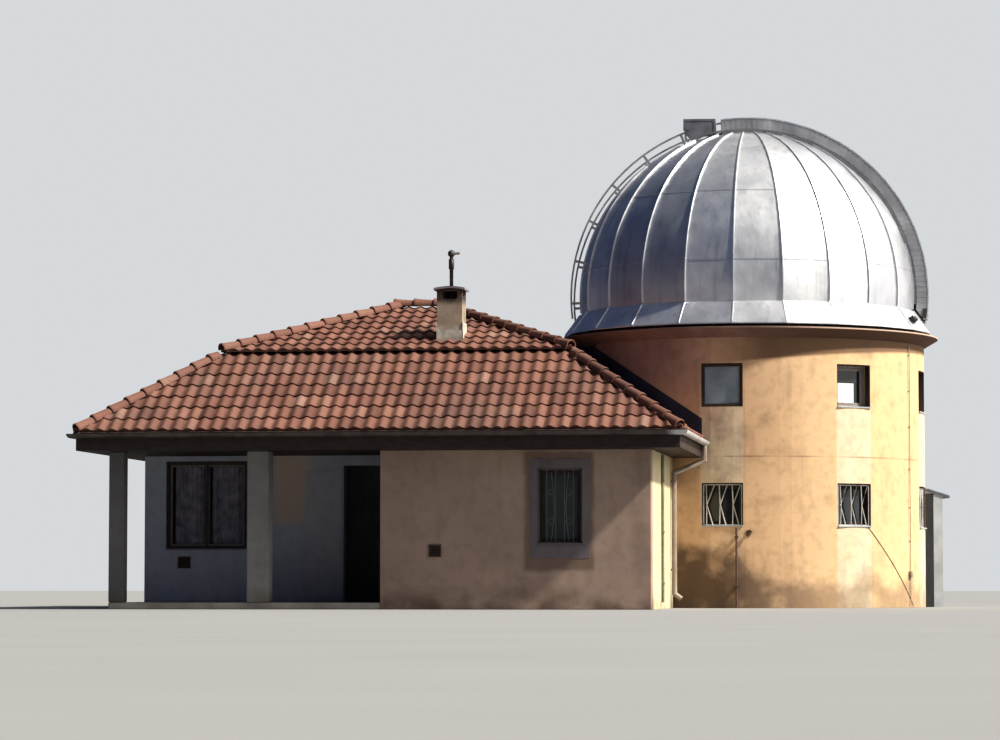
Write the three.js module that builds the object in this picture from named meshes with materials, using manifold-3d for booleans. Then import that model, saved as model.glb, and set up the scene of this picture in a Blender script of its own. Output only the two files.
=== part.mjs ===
// Small observatory: a round rendered tower with a turning sheet metal dome, joined at its left to a
// one-storey house with a hipped tile roof and a corner porch.
// Millimetres. Origin on the ground on the tower's axis, +X to the right along the facade,
// +Y away from the viewer, +Z up. Azimuths are degrees from -Y towards +X.
import * as THREE from "three";
import { ConvexGeometry } from "three/addons/geometries/ConvexGeometry.js";
import { mergeVertices } from "three/addons/utils/BufferGeometryUtils.js";
import Module from "manifold-3d";

const wasm = await Module();
wasm.setup();

// Gap left beside pieces that are turned or cut to a curve
const FIT_GAP = 0.3;
// How far cutting solids run past what they cut, and a length past the whole building
const OVERCUT = 200;
const BEYOND = 9000;
// How far welded bars run into each other
const WELD = 5;

// Tower
const TOWER_R = 3000;
const TOWER_INNER_R = 2620;
const TOWER_WALL_TOP = 4400;
const TOWER_SLAB_TOP = 60;
const FACET_DEG = 3.7;
const WINDOW_STEP_DEG = 43.6;
const FIRST_WINDOW_DEG = -4.4;
const TOWER_WINDOW_WIDTH = 680;
const LOWER_WINDOW_Z = [1320, 2030];
const UPPER_WINDOW_Z = [3270, 3980];
const UPPER_FLOOR_Z = [2300, 2460];
const GLASS_THICKNESS = 6;
const GLASS_MARGIN = 60;

// Tower side doorway and the small lean-to over it
const SIDE_DOOR_DEG = 104.6;
const SIDE_DOOR_HALF = 400;
const SIDE_DOOR_HALF_DEG = 7.66;
const SIDE_DOOR_HEAD = 1930;
const SIDE_LEAF_FACE = 2590;
const LEANTO_HALF = 560;
const LEANTO_PANEL_REACH = 3260;
const LEANTO_ROOF_REACH = 3380;
const LEANTO_WALL_Z = 2010;
const LEANTO_FALL = 0.3;
const LEANTO_ROOF_THICKNESS = 40;
const LEANTO_PANEL = 30;
const LEANTO_PANEL_INSET = 20;
const LEANTO_POST = [90, 70];

// Ring beam with its drip edge, and the dome track on it
const CORNICE_R = 3240;
const CORNICE_TIP_Z = [4540, 4562];
const RING_BEAM_TOP = 4585;
const TRACK_R = [2812, 2848];
const TRACK_TOP = 4679.6;

// Dome
const DOME_CENTRE_Z = 5280;
const DOME_R = 2860;
const DOME_SHEET = 12;
const DOME_GORES = 22;
const FIRST_SEAM_DEG = -0.9;
const DOME_BASE_Z = 5010;
const BASE_RING_R = [2815, 2850];
const BASE_RING_BOTTOM = 4680;
const SKIRT_R = 3145;
const SKIRT_BOTTOM = 4620;
const SKIRT_SHEET = 10;
const SKIRT_COLLAR = 50;
const SKIRT_EDGE = 20;
const SKIRT_SHOULDER = 25;
const DOME_RINGS = 16;

// Slit, its rails and the up-and-over shutter
const SLIT_DEG = 93.73;
const SLIT_HALF = 500;
const SLIT_REAR = 300;
const SLIT_SILL_Z = 5120;
const SHEET_JOINT_Z = 6899;
const RAIL_THICKNESS = 35;
const RAIL_R = [2990, 3020];
const CURB_INNER_R = 2780;
const RAIL_FRONT_DEG = -3;
const RAIL_REAR_DEG = 187;
const LAST_STRUT_DEG = 182;
const CURB_REAR_DEG = 98.5;
const RAIL_STEP_DEG = 3.5;
const STRUT_STEP_DEG = 14;
const STRUT_HALF_DEG = 0.4;
const STRUT_ROOT = 160;
const SHUTTER_R = [3045, 3060];
const SHUTTER_HALF = 565;
const SHUTTER_SHEET = 15;
const SHUTTER_FLANGE_R = 2862;
const SHUTTER_FOOT_R = 3075;
const SHUTTER_DEG = [-8, 98.3];
const SHUTTER_STEPS = 30;
const SHUTTER_OVER_SKIRT = 35;
const SHOE_LENGTH = 60;
const SHOE_INSET = 3;
const SHOE_DEG = [4, 35.5, 63.5, 91.5];

// Level box behind the shutter: e runs along the slit's direction
const TAIL_E = [-1080, -530];
const TAIL_TOP_Z = 8325;
const TAIL_HEEL_Z = 8135;
const TAIL_LOW_R = 2845;
const TAIL_FOOT_DEG = 109.4;
const TAIL_BAR = 35;
const TAIL_SIDE = 20;
const TAIL_PLATE = 6;
const TAIL_PLATE_E = -860;
const TAIL_PLATE_HEEL_Z = 8200;

// House
const WALL = 300;
const FRONT_Y = -6620;
const REAR_Y = 1080;
const LEFT_X = -9410;
const TOWER_END = -2500;
const RIGHT_X = -1050;
const BLOCK_X = -5230;
const PORCH_BACK_Y = -4720;
const PORCH_LEFT_X = -9510;
const FLOOR_TOP = 100;
const WALL_TOP = 2440;
const CEILING_TOP = 2520;
const DOOR_X = [-6156, -5230];
const DOOR_HEAD = 2280;
const DOOR_GAP = 6;
const DOOR_LEAF = 45;
const LEAF_SLACK = 4;

// Door hinges: the pin stands off the wall's inner face, in a knuckle on the leaf
const HINGE_OUT = 20;
const PIN_R = 8;
const KNUCKLE_R = 13;
const KNUCKLE_HEIGHT = 90;
const STRAP = [60, 10];
const HINGE_PLATE = [-70, -30];
const HINGE_PLATE_Y = 4;
const LUG = 20;
const HINGE_HEIGHTS = [0.12, 0.88];
const PIN_SIDES = 16;

// Porch columns and the windows of the house
const COLUMN_CORNER = 240;
const COLUMN_FRONT_X = [-7320, -6980];
const HOUSE_WINDOW_Z = [985, 2150];
const FRONT_WINDOW_X = [-2788, -2104];
const PORCH_WINDOW_X = [-9060, -7730];
const PORCH_WINDOW_Z = [940, 2360];
const SIDE_WINDOW_Y = [-2142, -1458];
const REAR_WINDOW_X = [-6342, -5658];
const FRAME_BAR = 60;
const FRAME_DEPTH = 60;
const PANE = 8;
const WINDOW_SETBACK = 120;

// Roof, measured outwards from the fascia's outer face
const EAVES = { x0: -9910, x1: -560, y0: -7120, y1: 1580 };
const FASCIA = 30;
const FASCIA_TOP = 2700;
const EAVE_EDGE = 40;
const EAVE_Z = 2775;
const KINK_IN = 1900;
const KINK_Z = 4080;
const ROOF_DEPTH = 150;
const ROOF_FOOT_IN = 130;
const TILE_EDGE = 33;
const UPPER_EDGE = 40;
const UPPER_EDGE_Z = 4126;
const RIDGE_Z = 5000;
const KINK_SHELF = 100;
const CAP_R = 85;
const CAP_SIDES = 10;
const CAP_STOP = 40;
const CAP_OVERRUN = 40;
const LOWER_CAP_FOOT = 20;
const LOWER_CAP_HEAD = [110, 65];
const UPPER_CAP_FOOT = 14;

// Rainwater goods
const GUTTER_R = 62;
const GUTTER_SHEET = 5;
const GUTTER_Z = 2690;
const GUTTER_LIP = 8;
const GUTTER_STEPS = 8;
const PIPE_R = 42;
const PIPE_Y = -3230;
const PIPE_X = -990;
const PIPE_BENDS_Z = [2385, 2190, 230, 150];
const PIPE_SHOE = 110;
const CLIPS_Z = [620, 2050];
const CLIP = { arm: 12, half: 15, proud: 6 };

// Chimney
const STACK = { x0: -4640, x1: -4230, y0: -4800, y1: -4390 };
const STACK_TOP = 5080;
const FLUE = 100;
const FLUE_FOOT_Z = 400;
const SMOKE_HALF = 120;
const SMOKE_Z = [4930, 5050];
const CAP_TOP = 5130;
const CAP_LIP = 45;
const FLUE_PIPE_R = 30;
const FLUE_PIPE_TOP = 5630;
const FLUE_SLEEVE_R = 44;
const FLUE_SLEEVE_Z = [5420, 5580];
const COWL_R = 60;
const COWL_RAISE = 40;
const COWL_ARM = 130;
const COWL_ARM_R = 22;
const COWL_ARM_RAISE = 45;

// Flashing where the roof meets the tower
const FLASHING_SHEET = 8;
const FLASHING_UP = 280;
const FLASHING_HEAD = 10;
const FLASHING_START = 5;

const RAD = Math.PI / 180;
const group = new THREE.Group();

const MATERIALS = {
  render: [0xc9b48c, 0.95, 0],
  houseRender: [0x9a8c74, 0.95, 0],
  concrete: [0x8f8c86, 0.95, 0],
  tile: [0xb0553a, 0.85, 0],
  timber: [0x3b2820, 0.7, 0],
  darkWood: [0x2a211d, 0.6, 0],
  galvanised: [0xb4b8ba, 0.45, 0.8],
  domeSheet: [0x8d949c, 0.4, 0.8],
  darkSteel: [0x3a3d40, 0.5, 0.8],
  glass: [0x2c3436, 0.1, 0],
  bitumen: [0x2f2d2c, 0.8, 0],
  paleSheet: [0xb9bcba, 0.6, 0.1],
};

// Solids and meshes
function solid(geometry) {
  const bare = geometry.index ? geometry.toNonIndexed() : geometry.clone();
  bare.deleteAttribute("normal");
  bare.deleteAttribute("uv");
  const merged = mergeVertices(bare, 1e-3);
  const mesh = new wasm.Mesh({
    numProp: 3,
    vertProperties: new Float32Array(merged.attributes.position.array),
    triVerts: new Uint32Array(merged.index.array),
  });
  return new wasm.Manifold(mesh);
}

function solidFrom(points, triangles) {
  const make = (faces) =>
    new wasm.Manifold(
      new wasm.Mesh({
        numProp: 3,
        vertProperties: new Float32Array(points.flat()),
        triVerts: new Uint32Array(faces.flat()),
      }),
    );
  const made = make(triangles);
  return made.volume() < 0 ? make(triangles.map(([a, b, c]) => [a, c, b])) : made;
}

function piece(name, shape, materialName) {
  const source = shape.getMesh();
  const geometry = new THREE.BufferGeometry();
  geometry.setAttribute("position", new THREE.BufferAttribute(source.vertProperties, 3));
  geometry.setIndex(new THREE.BufferAttribute(source.triVerts, 1));
  geometry.computeVertexNormals();
  const [color, roughness, metalness] = MATERIALS[materialName];
  const material = new THREE.MeshStandardMaterial({ color, roughness, metalness });
  const mesh = new THREE.Mesh(geometry, material);
  mesh.name = name;
  group.add(mesh);
}

const union = (shapes) => shapes.reduce((sum, shape) => sum.add(shape));

function box(x0, x1, y0, y1, z0, z1) {
  const geometry = new THREE.BoxGeometry(x1 - x0, y1 - y0, z1 - z0);
  geometry.translate((x0 + x1) / 2, (y0 + y1) / 2, (z0 + z1) / 2);
  return solid(geometry);
}

// A closed profile carried through a row of places; each place maps a profile point to a position
function sweep(profile, places, closed) {
  const count = profile.length;
  const points = places.flatMap((place) => profile.map(([a, b]) => place(a, b)));
  const triangles = [];
  const last = closed ? places.length : places.length - 1;
  for (let i = 0; i < last; i += 1) {
    const here = i * count;
    const next = ((i + 1) % places.length) * count;
    for (let j = 0; j < count; j += 1) {
      const k = (j + 1) % count;
      triangles.push([here + j, next + j, next + k], [here + j, next + k, here + k]);
    }
  }
  if (!closed) {
    const outline = profile.map(([a, b]) => new THREE.Vector2(a, b));
    const end = last * count;
    for (const [a, b, c] of THREE.ShapeUtils.triangulateShape(outline, [])) {
      triangles.push([a, b, c], [end + a, end + c, end + b]);
    }
  }
  return solidFrom(points, triangles);
}

const polar = (deg) => (r, z) => [r * Math.sin(deg * RAD), -r * Math.cos(deg * RAD), z];
const revolve = (profile, angles, closed) => sweep(profile, angles.map(polar), closed);

function discSolid(radius, z0, z1, angles) {
  const ring = angles.flatMap((a) => [polar(a)(radius, z0), polar(a)(radius, z1)]);
  return solid(new ConvexGeometry(ring.map((p) => new THREE.Vector3(...p))));
}

// Angles round the tower: its wall is cut into segments, each with even facets
const windowAngles = [0, 1, 2, 3, 4, 5].map((i) => FIRST_WINDOW_DEG + i * WINDOW_STEP_DEG);
const firstCut = FIRST_WINDOW_DEG - WINDOW_STEP_DEG / 2;
const segmentCuts = [
  firstCut,
  firstCut + WINDOW_STEP_DEG,
  firstCut + 2 * WINDOW_STEP_DEG,
  SIDE_DOOR_DEG - SIDE_DOOR_HALF_DEG,
  SIDE_DOOR_DEG + SIDE_DOOR_HALF_DEG,
  firstCut + 4 * WINDOW_STEP_DEG,
  firstCut + 5 * WINDOW_STEP_DEG,
  firstCut + 6 * WINDOW_STEP_DEG,
];

function facetsBetween(from, to) {
  const steps = Math.round((to - from) / FACET_DEG);
  return Array.from({ length: steps + 1 }, (_, i) => from + ((to - from) * i) / steps);
}

const segmentAngles = segmentCuts.map((cut, i) =>
  facetsBetween(cut, i + 1 < segmentCuts.length ? segmentCuts[i + 1] : segmentCuts[0] + 360),
);
const towerAngles = segmentAngles.flatMap((list) => list.slice(0, -1));
const towerCore = discSolid(TOWER_R + FIT_GAP, -OVERCUT, BEYOND, towerAngles);

function radialBox(deg, half, r0, r1, z0, z1) {
  const geometry = new THREE.BoxGeometry(2 * half, r1 - r0, z1 - z0);
  geometry.translate(0, -(r0 + r1) / 2, (z0 + z1) / 2);
  geometry.rotateZ(deg * RAD);
  return solid(geometry);
}

function towerWindowCut(deg, [z0, z1]) {
  const [r0, r1] = [TOWER_INNER_R - OVERCUT, TOWER_R + OVERCUT];
  return radialBox(deg, TOWER_WINDOW_WIDTH / 2, r0, r1, z0, z1);
}

function wallSegment(index, z0) {
  const profile = [
    [TOWER_INNER_R, z0],
    [TOWER_R, z0],
    [TOWER_R, TOWER_WALL_TOP],
    [TOWER_INNER_R, TOWER_WALL_TOP],
  ];
  return revolve(profile, segmentAngles[index], false);
}

// Tower wall: front, then on round by the right, the rear and the side in the house
function buildTowerWalls() {
  const doorCut = radialBox(
    SIDE_DOOR_DEG,
    SIDE_DOOR_HALF,
    TOWER_INNER_R - OVERCUT,
    TOWER_R + OVERCUT,
    -OVERCUT,
    SIDE_DOOR_HEAD,
  );
  const names = ["front", "front_right", "right", "door_head", "rear_right", "rear", "rear_left"];
  let window = 0;
  names.forEach((name, i) => {
    if (name === "door_head") {
      piece("tower_wall_door_head", wallSegment(i, SIDE_DOOR_HEAD), "render");
      return;
    }
    const angle = windowAngles[window];
    window += 1;
    let wall = wallSegment(i, 0)
      .subtract(towerWindowCut(angle, LOWER_WINDOW_Z))
      .subtract(towerWindowCut(angle, UPPER_WINDOW_Z));
    if (name === "right" || name === "rear_right") wall = wall.subtract(doorCut);
    piece("tower_wall_" + name, wall, "render");
  });
  piece("tower_wall_house", wallSegment(7, 0), "render");
}

function buildTowerFloors() {
  const radius = TOWER_INNER_R - FIT_GAP;
  piece("tower_slab", discSolid(radius, 0, TOWER_SLAB_TOP, towerAngles), "concrete");
  piece("tower_upper_floor", discSolid(radius, ...UPPER_FLOOR_Z, towerAngles), "concrete");
}

// One sheet of glass a storey on the wall's inner face; the lower one stops at the doorway
function buildTowerGlass() {
  const outer = TOWER_INNER_R - FIT_GAP;
  const sheet = ([z0, z1]) => [
    [outer - GLASS_THICKNESS, z0 - GLASS_MARGIN],
    [outer, z0 - GLASS_MARGIN],
    [outer, z1 + GLASS_MARGIN],
    [outer - GLASS_THICKNESS, z1 + GLASS_MARGIN],
  ];
  const start = segmentAngles[4][1];
  const stop = segmentAngles[2][segmentAngles[2].length - 2] + 360;
  const all = [...towerAngles, ...towerAngles.map((a) => a + 360)];
  const open = all.filter((a) => a >= start - 1e-6 && a <= stop + 1e-6);
  piece("tower_glass_lower", revolve(sheet(LOWER_WINDOW_Z), open, false), "glass");
  piece("tower_glass_upper", revolve(sheet(UPPER_WINDOW_Z), towerAngles, true), "glass");
}

function buildRingBeam() {
  const beam = [
    [TOWER_INNER_R, TOWER_WALL_TOP],
    [TOWER_R, TOWER_WALL_TOP],
    [CORNICE_R, CORNICE_TIP_Z[0]],
    [CORNICE_R, CORNICE_TIP_Z[1]],
    [TOWER_R, RING_BEAM_TOP],
    [TOWER_INNER_R, RING_BEAM_TOP],
  ];
  piece("ring_beam", revolve(beam, towerAngles, true), "render");
  const track = [
    [TRACK_R[0], RING_BEAM_TOP],
    [TRACK_R[1], RING_BEAM_TOP],
    [TRACK_R[1], TRACK_TOP],
    [TRACK_R[0], TRACK_TOP],
  ];
  piece("dome_track", revolve(track, towerAngles, true), "darkSteel");
}

// Side lean-to: local axes are t along the wall and n outwards from the tower's axis
function leanToPrism(outline, t0, t1) {
  const turn = new THREE.Matrix4().makeRotationZ(SIDE_DOOR_DEG * RAD);
  const points = [t0, t1].flatMap((t) => outline.map(([n, z]) => new THREE.Vector3(t, -n, z)));
  return solid(new ConvexGeometry(points.map((p) => p.applyMatrix4(turn))));
}

function buildLeanTo() {
  const roofUnder = (n) => LEANTO_WALL_Z - LEANTO_ROOF_THICKNESS - (n - TOWER_R) * LEANTO_FALL;
  const inner = TOWER_R - OVERCUT;
  const panelEnd = LEANTO_PANEL_REACH;
  const panelOutline = [
    [inner, 0],
    [panelEnd, 0],
    [panelEnd, roofUnder(panelEnd) - FIT_GAP],
    [inner, roofUnder(inner) - FIT_GAP],
  ];
  const postEnd = TOWER_R + LEANTO_POST[0];
  const postOutline = [
    [inner, 0],
    [postEnd, 0],
    [postEnd, roofUnder(postEnd) - FIT_GAP],
    [inner, roofUnder(inner) - FIT_GAP],
  ];
  const roofOutline = [
    [inner, roofUnder(inner)],
    [LEANTO_ROOF_REACH, roofUnder(LEANTO_ROOF_REACH)],
    [LEANTO_ROOF_REACH, roofUnder(LEANTO_ROOF_REACH) + LEANTO_ROOF_THICKNESS],
    [inner, roofUnder(inner) + LEANTO_ROOF_THICKNESS],
  ];
  const sides = { near: -1, far: 1 };
  for (const [name, side] of Object.entries(sides)) {
    const outer = side * (LEANTO_HALF - LEANTO_PANEL_INSET);
    const panel = leanToPrism(panelOutline, outer - side * LEANTO_PANEL, outer);
    const post = leanToPrism(postOutline, outer - side * LEANTO_POST[1], outer);
    piece("side_porch_panel_" + name, panel.add(post).subtract(towerCore), "paleSheet");
  }
  const roof = leanToPrism(roofOutline, -LEANTO_HALF, LEANTO_HALF);
  piece("side_porch_roof", roof.subtract(towerCore), "galvanised");
}

// A door about its hinge axis: the leaf runs along x and swings towards y, off the wall's face
function hingedDoor(width, height) {
  const face = -HINGE_OUT;
  const seat = face + FIT_GAP;
  const levels = [height * HINGE_HEIGHTS[0], height * HINGE_HEIGHTS[1] - KNUCKLE_HEIGHT];
  const upright = (radius, z0, z1) => rod([0, 0, z0], [0, 0, z1], radius, PIN_SIDES);
  const parts = [box(0, width, face - DOOR_LEAF, face, 0, height)];
  const fixed = [box(...HINGE_PLATE, seat, -HINGE_PLATE_Y, levels[0] - LUG, levels[1])];
  for (const z of levels) {
    const top = z + KNUCKLE_HEIGHT;
    parts.push(upright(KNUCKLE_R, z, top), box(0, STRAP[0], face, face + STRAP[1], z, top));
    fixed.push(upright(PIN_R, z - LUG, top), upright(KNUCKLE_R, z - LUG, z - FIT_GAP));
    fixed.push(box(HINGE_PLATE[0], 0, seat, -HINGE_PLATE_Y, z - LUG, z - FIT_GAP));
  }
  const bore = (z) => upright(PIN_R + FIT_GAP, z - WELD, z + KNUCKLE_HEIGHT + WELD);
  const bores = levels.map(bore);
  return { leaf: union(parts).subtract(union(bores)), hinges: union(fixed) };
}

const SIDE_HINGE = { t: SIDE_DOOR_HALF - DOOR_GAP, n: SIDE_LEAF_FACE - HINGE_OUT };

function buildSideDoor() {
  const width = 2 * SIDE_DOOR_HALF - 2 * DOOR_GAP - LEAF_SLACK;
  const low = TOWER_SLAB_TOP + DOOR_GAP;
  const door = hingedDoor(width, SIDE_DOOR_HEAD - DOOR_GAP - low);
  const place = (shape) =>
    shape
      .rotate([0, 0, 180])
      .translate([SIDE_HINGE.t, -SIDE_HINGE.n, low])
      .rotate([0, 0, SIDE_DOOR_DEG]);
  const flipped = (shape) => place(shape.mirror([0, 1, 0]));
  piece("side_door", flipped(door.leaf), "darkWood");
  piece("side_door_hinges", flipped(door.hinges).subtract(towerLining()), "darkSteel");
}

// The wall's own thickness with its fitting gap, for what stands against its inner face
function towerLining() {
  const inner = TOWER_INNER_R - FIT_GAP;
  const lining = [
    [inner, 0],
    [TOWER_R, 0],
    [TOWER_R, TOWER_WALL_TOP],
    [inner, TOWER_WALL_TOP],
  ];
  const half = SIDE_DOOR_HALF - LEAF_SLACK / 2;
  const opening = radialBox(SIDE_DOOR_DEG, half, inner - OVERCUT, TOWER_R, 0, SIDE_DOOR_HEAD);
  return revolve(lining, towerAngles, true).subtract(opening);
}

// Dome: flat-across gores between standing seams
const gore = 360 / DOME_GORES;
const goreAngles = Array.from({ length: DOME_GORES }, (_, i) => FIRST_SEAM_DEG + i * gore);

function arcPoints(radius, fromDeg, toDeg, steps) {
  return Array.from({ length: steps + 1 }, (_, i) => {
    const a = (fromDeg + ((toDeg - fromDeg) * i) / steps) * RAD;
    return [radius * Math.cos(a), DOME_CENTRE_Z + radius * Math.sin(a)];
  });
}

// A solid turned from an open outline that ends on the axis, closed by its own bottom
function domeSolid(radius, bottom) {
  const low = Math.asin((bottom - DOME_CENTRE_Z) / radius) / RAD;
  const rings = arcPoints(radius, low, 90, DOME_RINGS).slice(0, -1);
  const points = rings.flatMap(([r, z]) => goreAngles.map((a) => polar(a)(r, z)));
  const top = points.push([0, 0, DOME_CENTRE_Z + radius]) - 1;
  const foot = points.push([0, 0, bottom]) - 1;
  const triangles = [];
  for (let j = 0; j < DOME_GORES; j += 1) {
    const k = (j + 1) % DOME_GORES;
    for (let i = 0; i + 1 < rings.length; i += 1) {
      const a = i * DOME_GORES;
      const b = a + DOME_GORES;
      triangles.push([a + j, a + k, b + k], [a + j, b + k, b + j]);
    }
    const high = (rings.length - 1) * DOME_GORES;
    triangles.push([high + j, high + k, top], [k, j, foot]);
  }
  return solidFrom(points, triangles);
}

// Slit frame: e along the slit's direction, p to its far side
const slitTurn = new THREE.Matrix4().makeRotationZ((SLIT_DEG - 90) * RAD);

function slitBox(e0, e1, p0, p1, z0, z1) {
  const geometry = new THREE.BoxGeometry(e1 - e0, p1 - p0, z1 - z0);
  geometry.translate((e0 + e1) / 2, (p0 + p1) / 2, (z0 + z1) / 2);
  geometry.applyMatrix4(slitTurn);
  return solid(geometry);
}

// Places along an arc over the dome: profile points are radius and p
function arcPlaces(from, to, stepDeg) {
  const steps = Math.max(1, Math.round((to - from) / stepDeg));
  return Array.from({ length: steps + 1 }, (_, i) => {
    const a = (from + ((to - from) * i) / steps) * RAD;
    return (r, p) => {
      const v = new THREE.Vector3(r * Math.cos(a), p, DOME_CENTRE_Z + r * Math.sin(a));
      return v.applyMatrix4(slitTurn).toArray();
    };
  });
}

const rectangle = (r0, r1, p0, p1) => [
  [r0, p0],
  [r1, p0],
  [r1, p1],
  [r0, p1],
];
const arcBar = (r0, r1, p0, p1, from, to, step) =>
  sweep(rectangle(r0, r1, p0, p1), arcPlaces(from, to, step), false);

function buildDomeShell() {
  const slitEdge = SLIT_HALF + RAIL_THICKNESS;
  const far = DOME_R + OVERCUT;
  const top = DOME_CENTRE_Z + far;
  const slit = slitBox(-SLIT_REAR, far, -slitEdge, slitEdge, SLIT_SILL_Z, top);
  const inner = domeSolid(DOME_R - DOME_SHEET, DOME_BASE_Z - OVERCUT);
  const shell = domeSolid(DOME_R, DOME_BASE_Z).subtract(inner).subtract(slit);
  const half = FIT_GAP / 2;
  const levels = {
    shell: [DOME_BASE_Z - OVERCUT, SHEET_JOINT_Z - half],
    crown: [SHEET_JOINT_Z + half, top],
  };
  for (const [level, [z0, z1]] of Object.entries(levels)) {
    const near = slitBox(-far, far, -far, -half, z0, z1);
    const rear = slitBox(-far, far, half, far, z0, z1);
    piece("dome_" + level + "_near", shell.intersect(near), "domeSheet");
    piece("dome_" + level + "_far", shell.intersect(rear), "domeSheet");
  }
}

function buildDomeBase() {
  const ring = [
    [BASE_RING_R[0], BASE_RING_BOTTOM],
    [BASE_RING_R[1], BASE_RING_BOTTOM],
    [BASE_RING_R[1], DOME_BASE_Z],
    [BASE_RING_R[0], DOME_BASE_Z],
  ];
  piece("dome_base_ring", revolve(ring, goreAngles, true), "darkSteel");
  const top = BASE_RING_R[1];
  const skirt = [
    [top, DOME_BASE_Z - SKIRT_COLLAR],
    [top + SKIRT_SHEET, DOME_BASE_Z - SKIRT_COLLAR],
    [SKIRT_R - SKIRT_SHEET, SKIRT_BOTTOM],
    [SKIRT_R, SKIRT_BOTTOM],
    [SKIRT_R, SKIRT_BOTTOM + SKIRT_EDGE],
    [top + SKIRT_SHOULDER, DOME_BASE_Z - SKIRT_SHEET],
    [top + SKIRT_SHEET, DOME_BASE_Z],
    [top, DOME_BASE_Z],
  ];
  piece("dome_skirt", revolve(skirt, goreAngles, true), "domeSheet");
}

// The room that the skirt takes, with the shutter's clearance round it
function skirtRoom() {
  const room = SHUTTER_OVER_SKIRT;
  const shoulder = BASE_RING_R[1] + SKIRT_SHOULDER + room;
  const profile = [
    [TRACK_R[0], SKIRT_BOTTOM - room],
    [SKIRT_R + room, SKIRT_BOTTOM - room],
    [SKIRT_R + room, SKIRT_BOTTOM + SKIRT_EDGE + room],
    [shoulder, DOME_BASE_Z + room],
    [TRACK_R[0], DOME_BASE_Z + room],
  ];
  return revolve(profile, goreAngles, true);
}

function buildRails() {
  const grow = 1 + (2 * FIT_GAP) / DOME_R;
  const filled = domeSolid(DOME_R, DOME_BASE_Z)
    .translate([0, 0, -DOME_CENTRE_Z])
    .scale(grow)
    .translate([0, 0, DOME_CENTRE_Z]);
  const sides = { near: -1, far: 1 };
  for (const [name, side] of Object.entries(sides)) {
    const inner = side * SLIT_HALF;
    const outer = side * (SLIT_HALF + RAIL_THICKNESS - FIT_GAP);
    const [p0, p1] = [Math.min(inner, outer), Math.max(inner, outer)];
    const step = RAIL_STEP_DEG;
    const curb = arcBar(CURB_INNER_R, RAIL_R[1], p0, p1, RAIL_FRONT_DEG, CURB_REAR_DEG, step);
    const slitEnd = slitBox(-BEYOND, -SLIT_REAR + FIT_GAP, -BEYOND, BEYOND, 0, BEYOND);
    const curbCut = curb.subtract(filled.intersect(slitEnd));
    const rail = arcBar(RAIL_R[0], RAIL_R[1], p0, p1, CURB_REAR_DEG - step, RAIL_REAR_DEG, step);
    const parts = [curbCut, rail];
    const reach = [DOME_R - STRUT_ROOT, RAIL_R[0] + WELD];
    for (let a = LAST_STRUT_DEG; a > CURB_REAR_DEG; a -= STRUT_STEP_DEG) {
      const strut = arcBar(...reach, p0, p1, a - STRUT_HALF_DEG, a + STRUT_HALF_DEG, 1);
      parts.push(strut.subtract(filled));
    }
    piece("shutter_rail_" + name, union(parts), "darkSteel");
  }
}

// A short block under the shutter's skin that rides on a rail
function runnerShoe(deg, side) {
  const middle = side * (SLIT_HALF + RAIL_THICKNESS / 2);
  const width = RAIL_THICKNESS - 2 * SHOE_INSET;
  const [low, high] = [RAIL_R[1] + FIT_GAP, SHUTTER_R[0] + WELD];
  const geometry = new THREE.BoxGeometry(high - low, width, SHOE_LENGTH);
  geometry.translate((low + high) / 2, middle, 0);
  geometry.rotateY(-deg * RAD);
  geometry.translate(0, 0, DOME_CENTRE_Z);
  geometry.applyMatrix4(slitTurn);
  return solid(geometry);
}

function buildShutter() {
  const [from, to] = SHUTTER_DEG;
  const half = SHUTTER_HALF;
  const thin = SHUTTER_SHEET;
  const channel = [
    [SHUTTER_FLANGE_R, -half],
    [SHUTTER_R[1], -half],
    [SHUTTER_R[1], half],
    [SHUTTER_FLANGE_R, half],
    [SHUTTER_FLANGE_R, half - thin],
    [SHUTTER_R[0], half - thin],
    [SHUTTER_R[0], -half + thin],
    [SHUTTER_FLANGE_R, -half + thin],
  ];
  const step = (to - from) / SHUTTER_STEPS;
  const skin = sweep(channel, arcPlaces(from, to, step), false);
  const foot = arcBar(SHUTTER_R[0] + WELD, SHUTTER_FOOT_R, -half, half, from, from + step / 2, step);
  const shoes = SHOE_DEG.flatMap((deg) => [-1, 1].map((side) => runnerShoe(deg, side)));
  piece("shutter", union([skin, foot, ...shoes]).subtract(skirtRoom()), "domeSheet");
}

// A flat plate across p0 to p1, from its outline in e and z
function slitPlate(outline, p0, p1) {
  const ends = [p0, p1].flatMap((p) => outline.map(([e, z]) => new THREE.Vector3(e, p, z)));
  return solid(new ConvexGeometry(ends.map((point) => point.applyMatrix4(slitTurn))));
}

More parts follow.
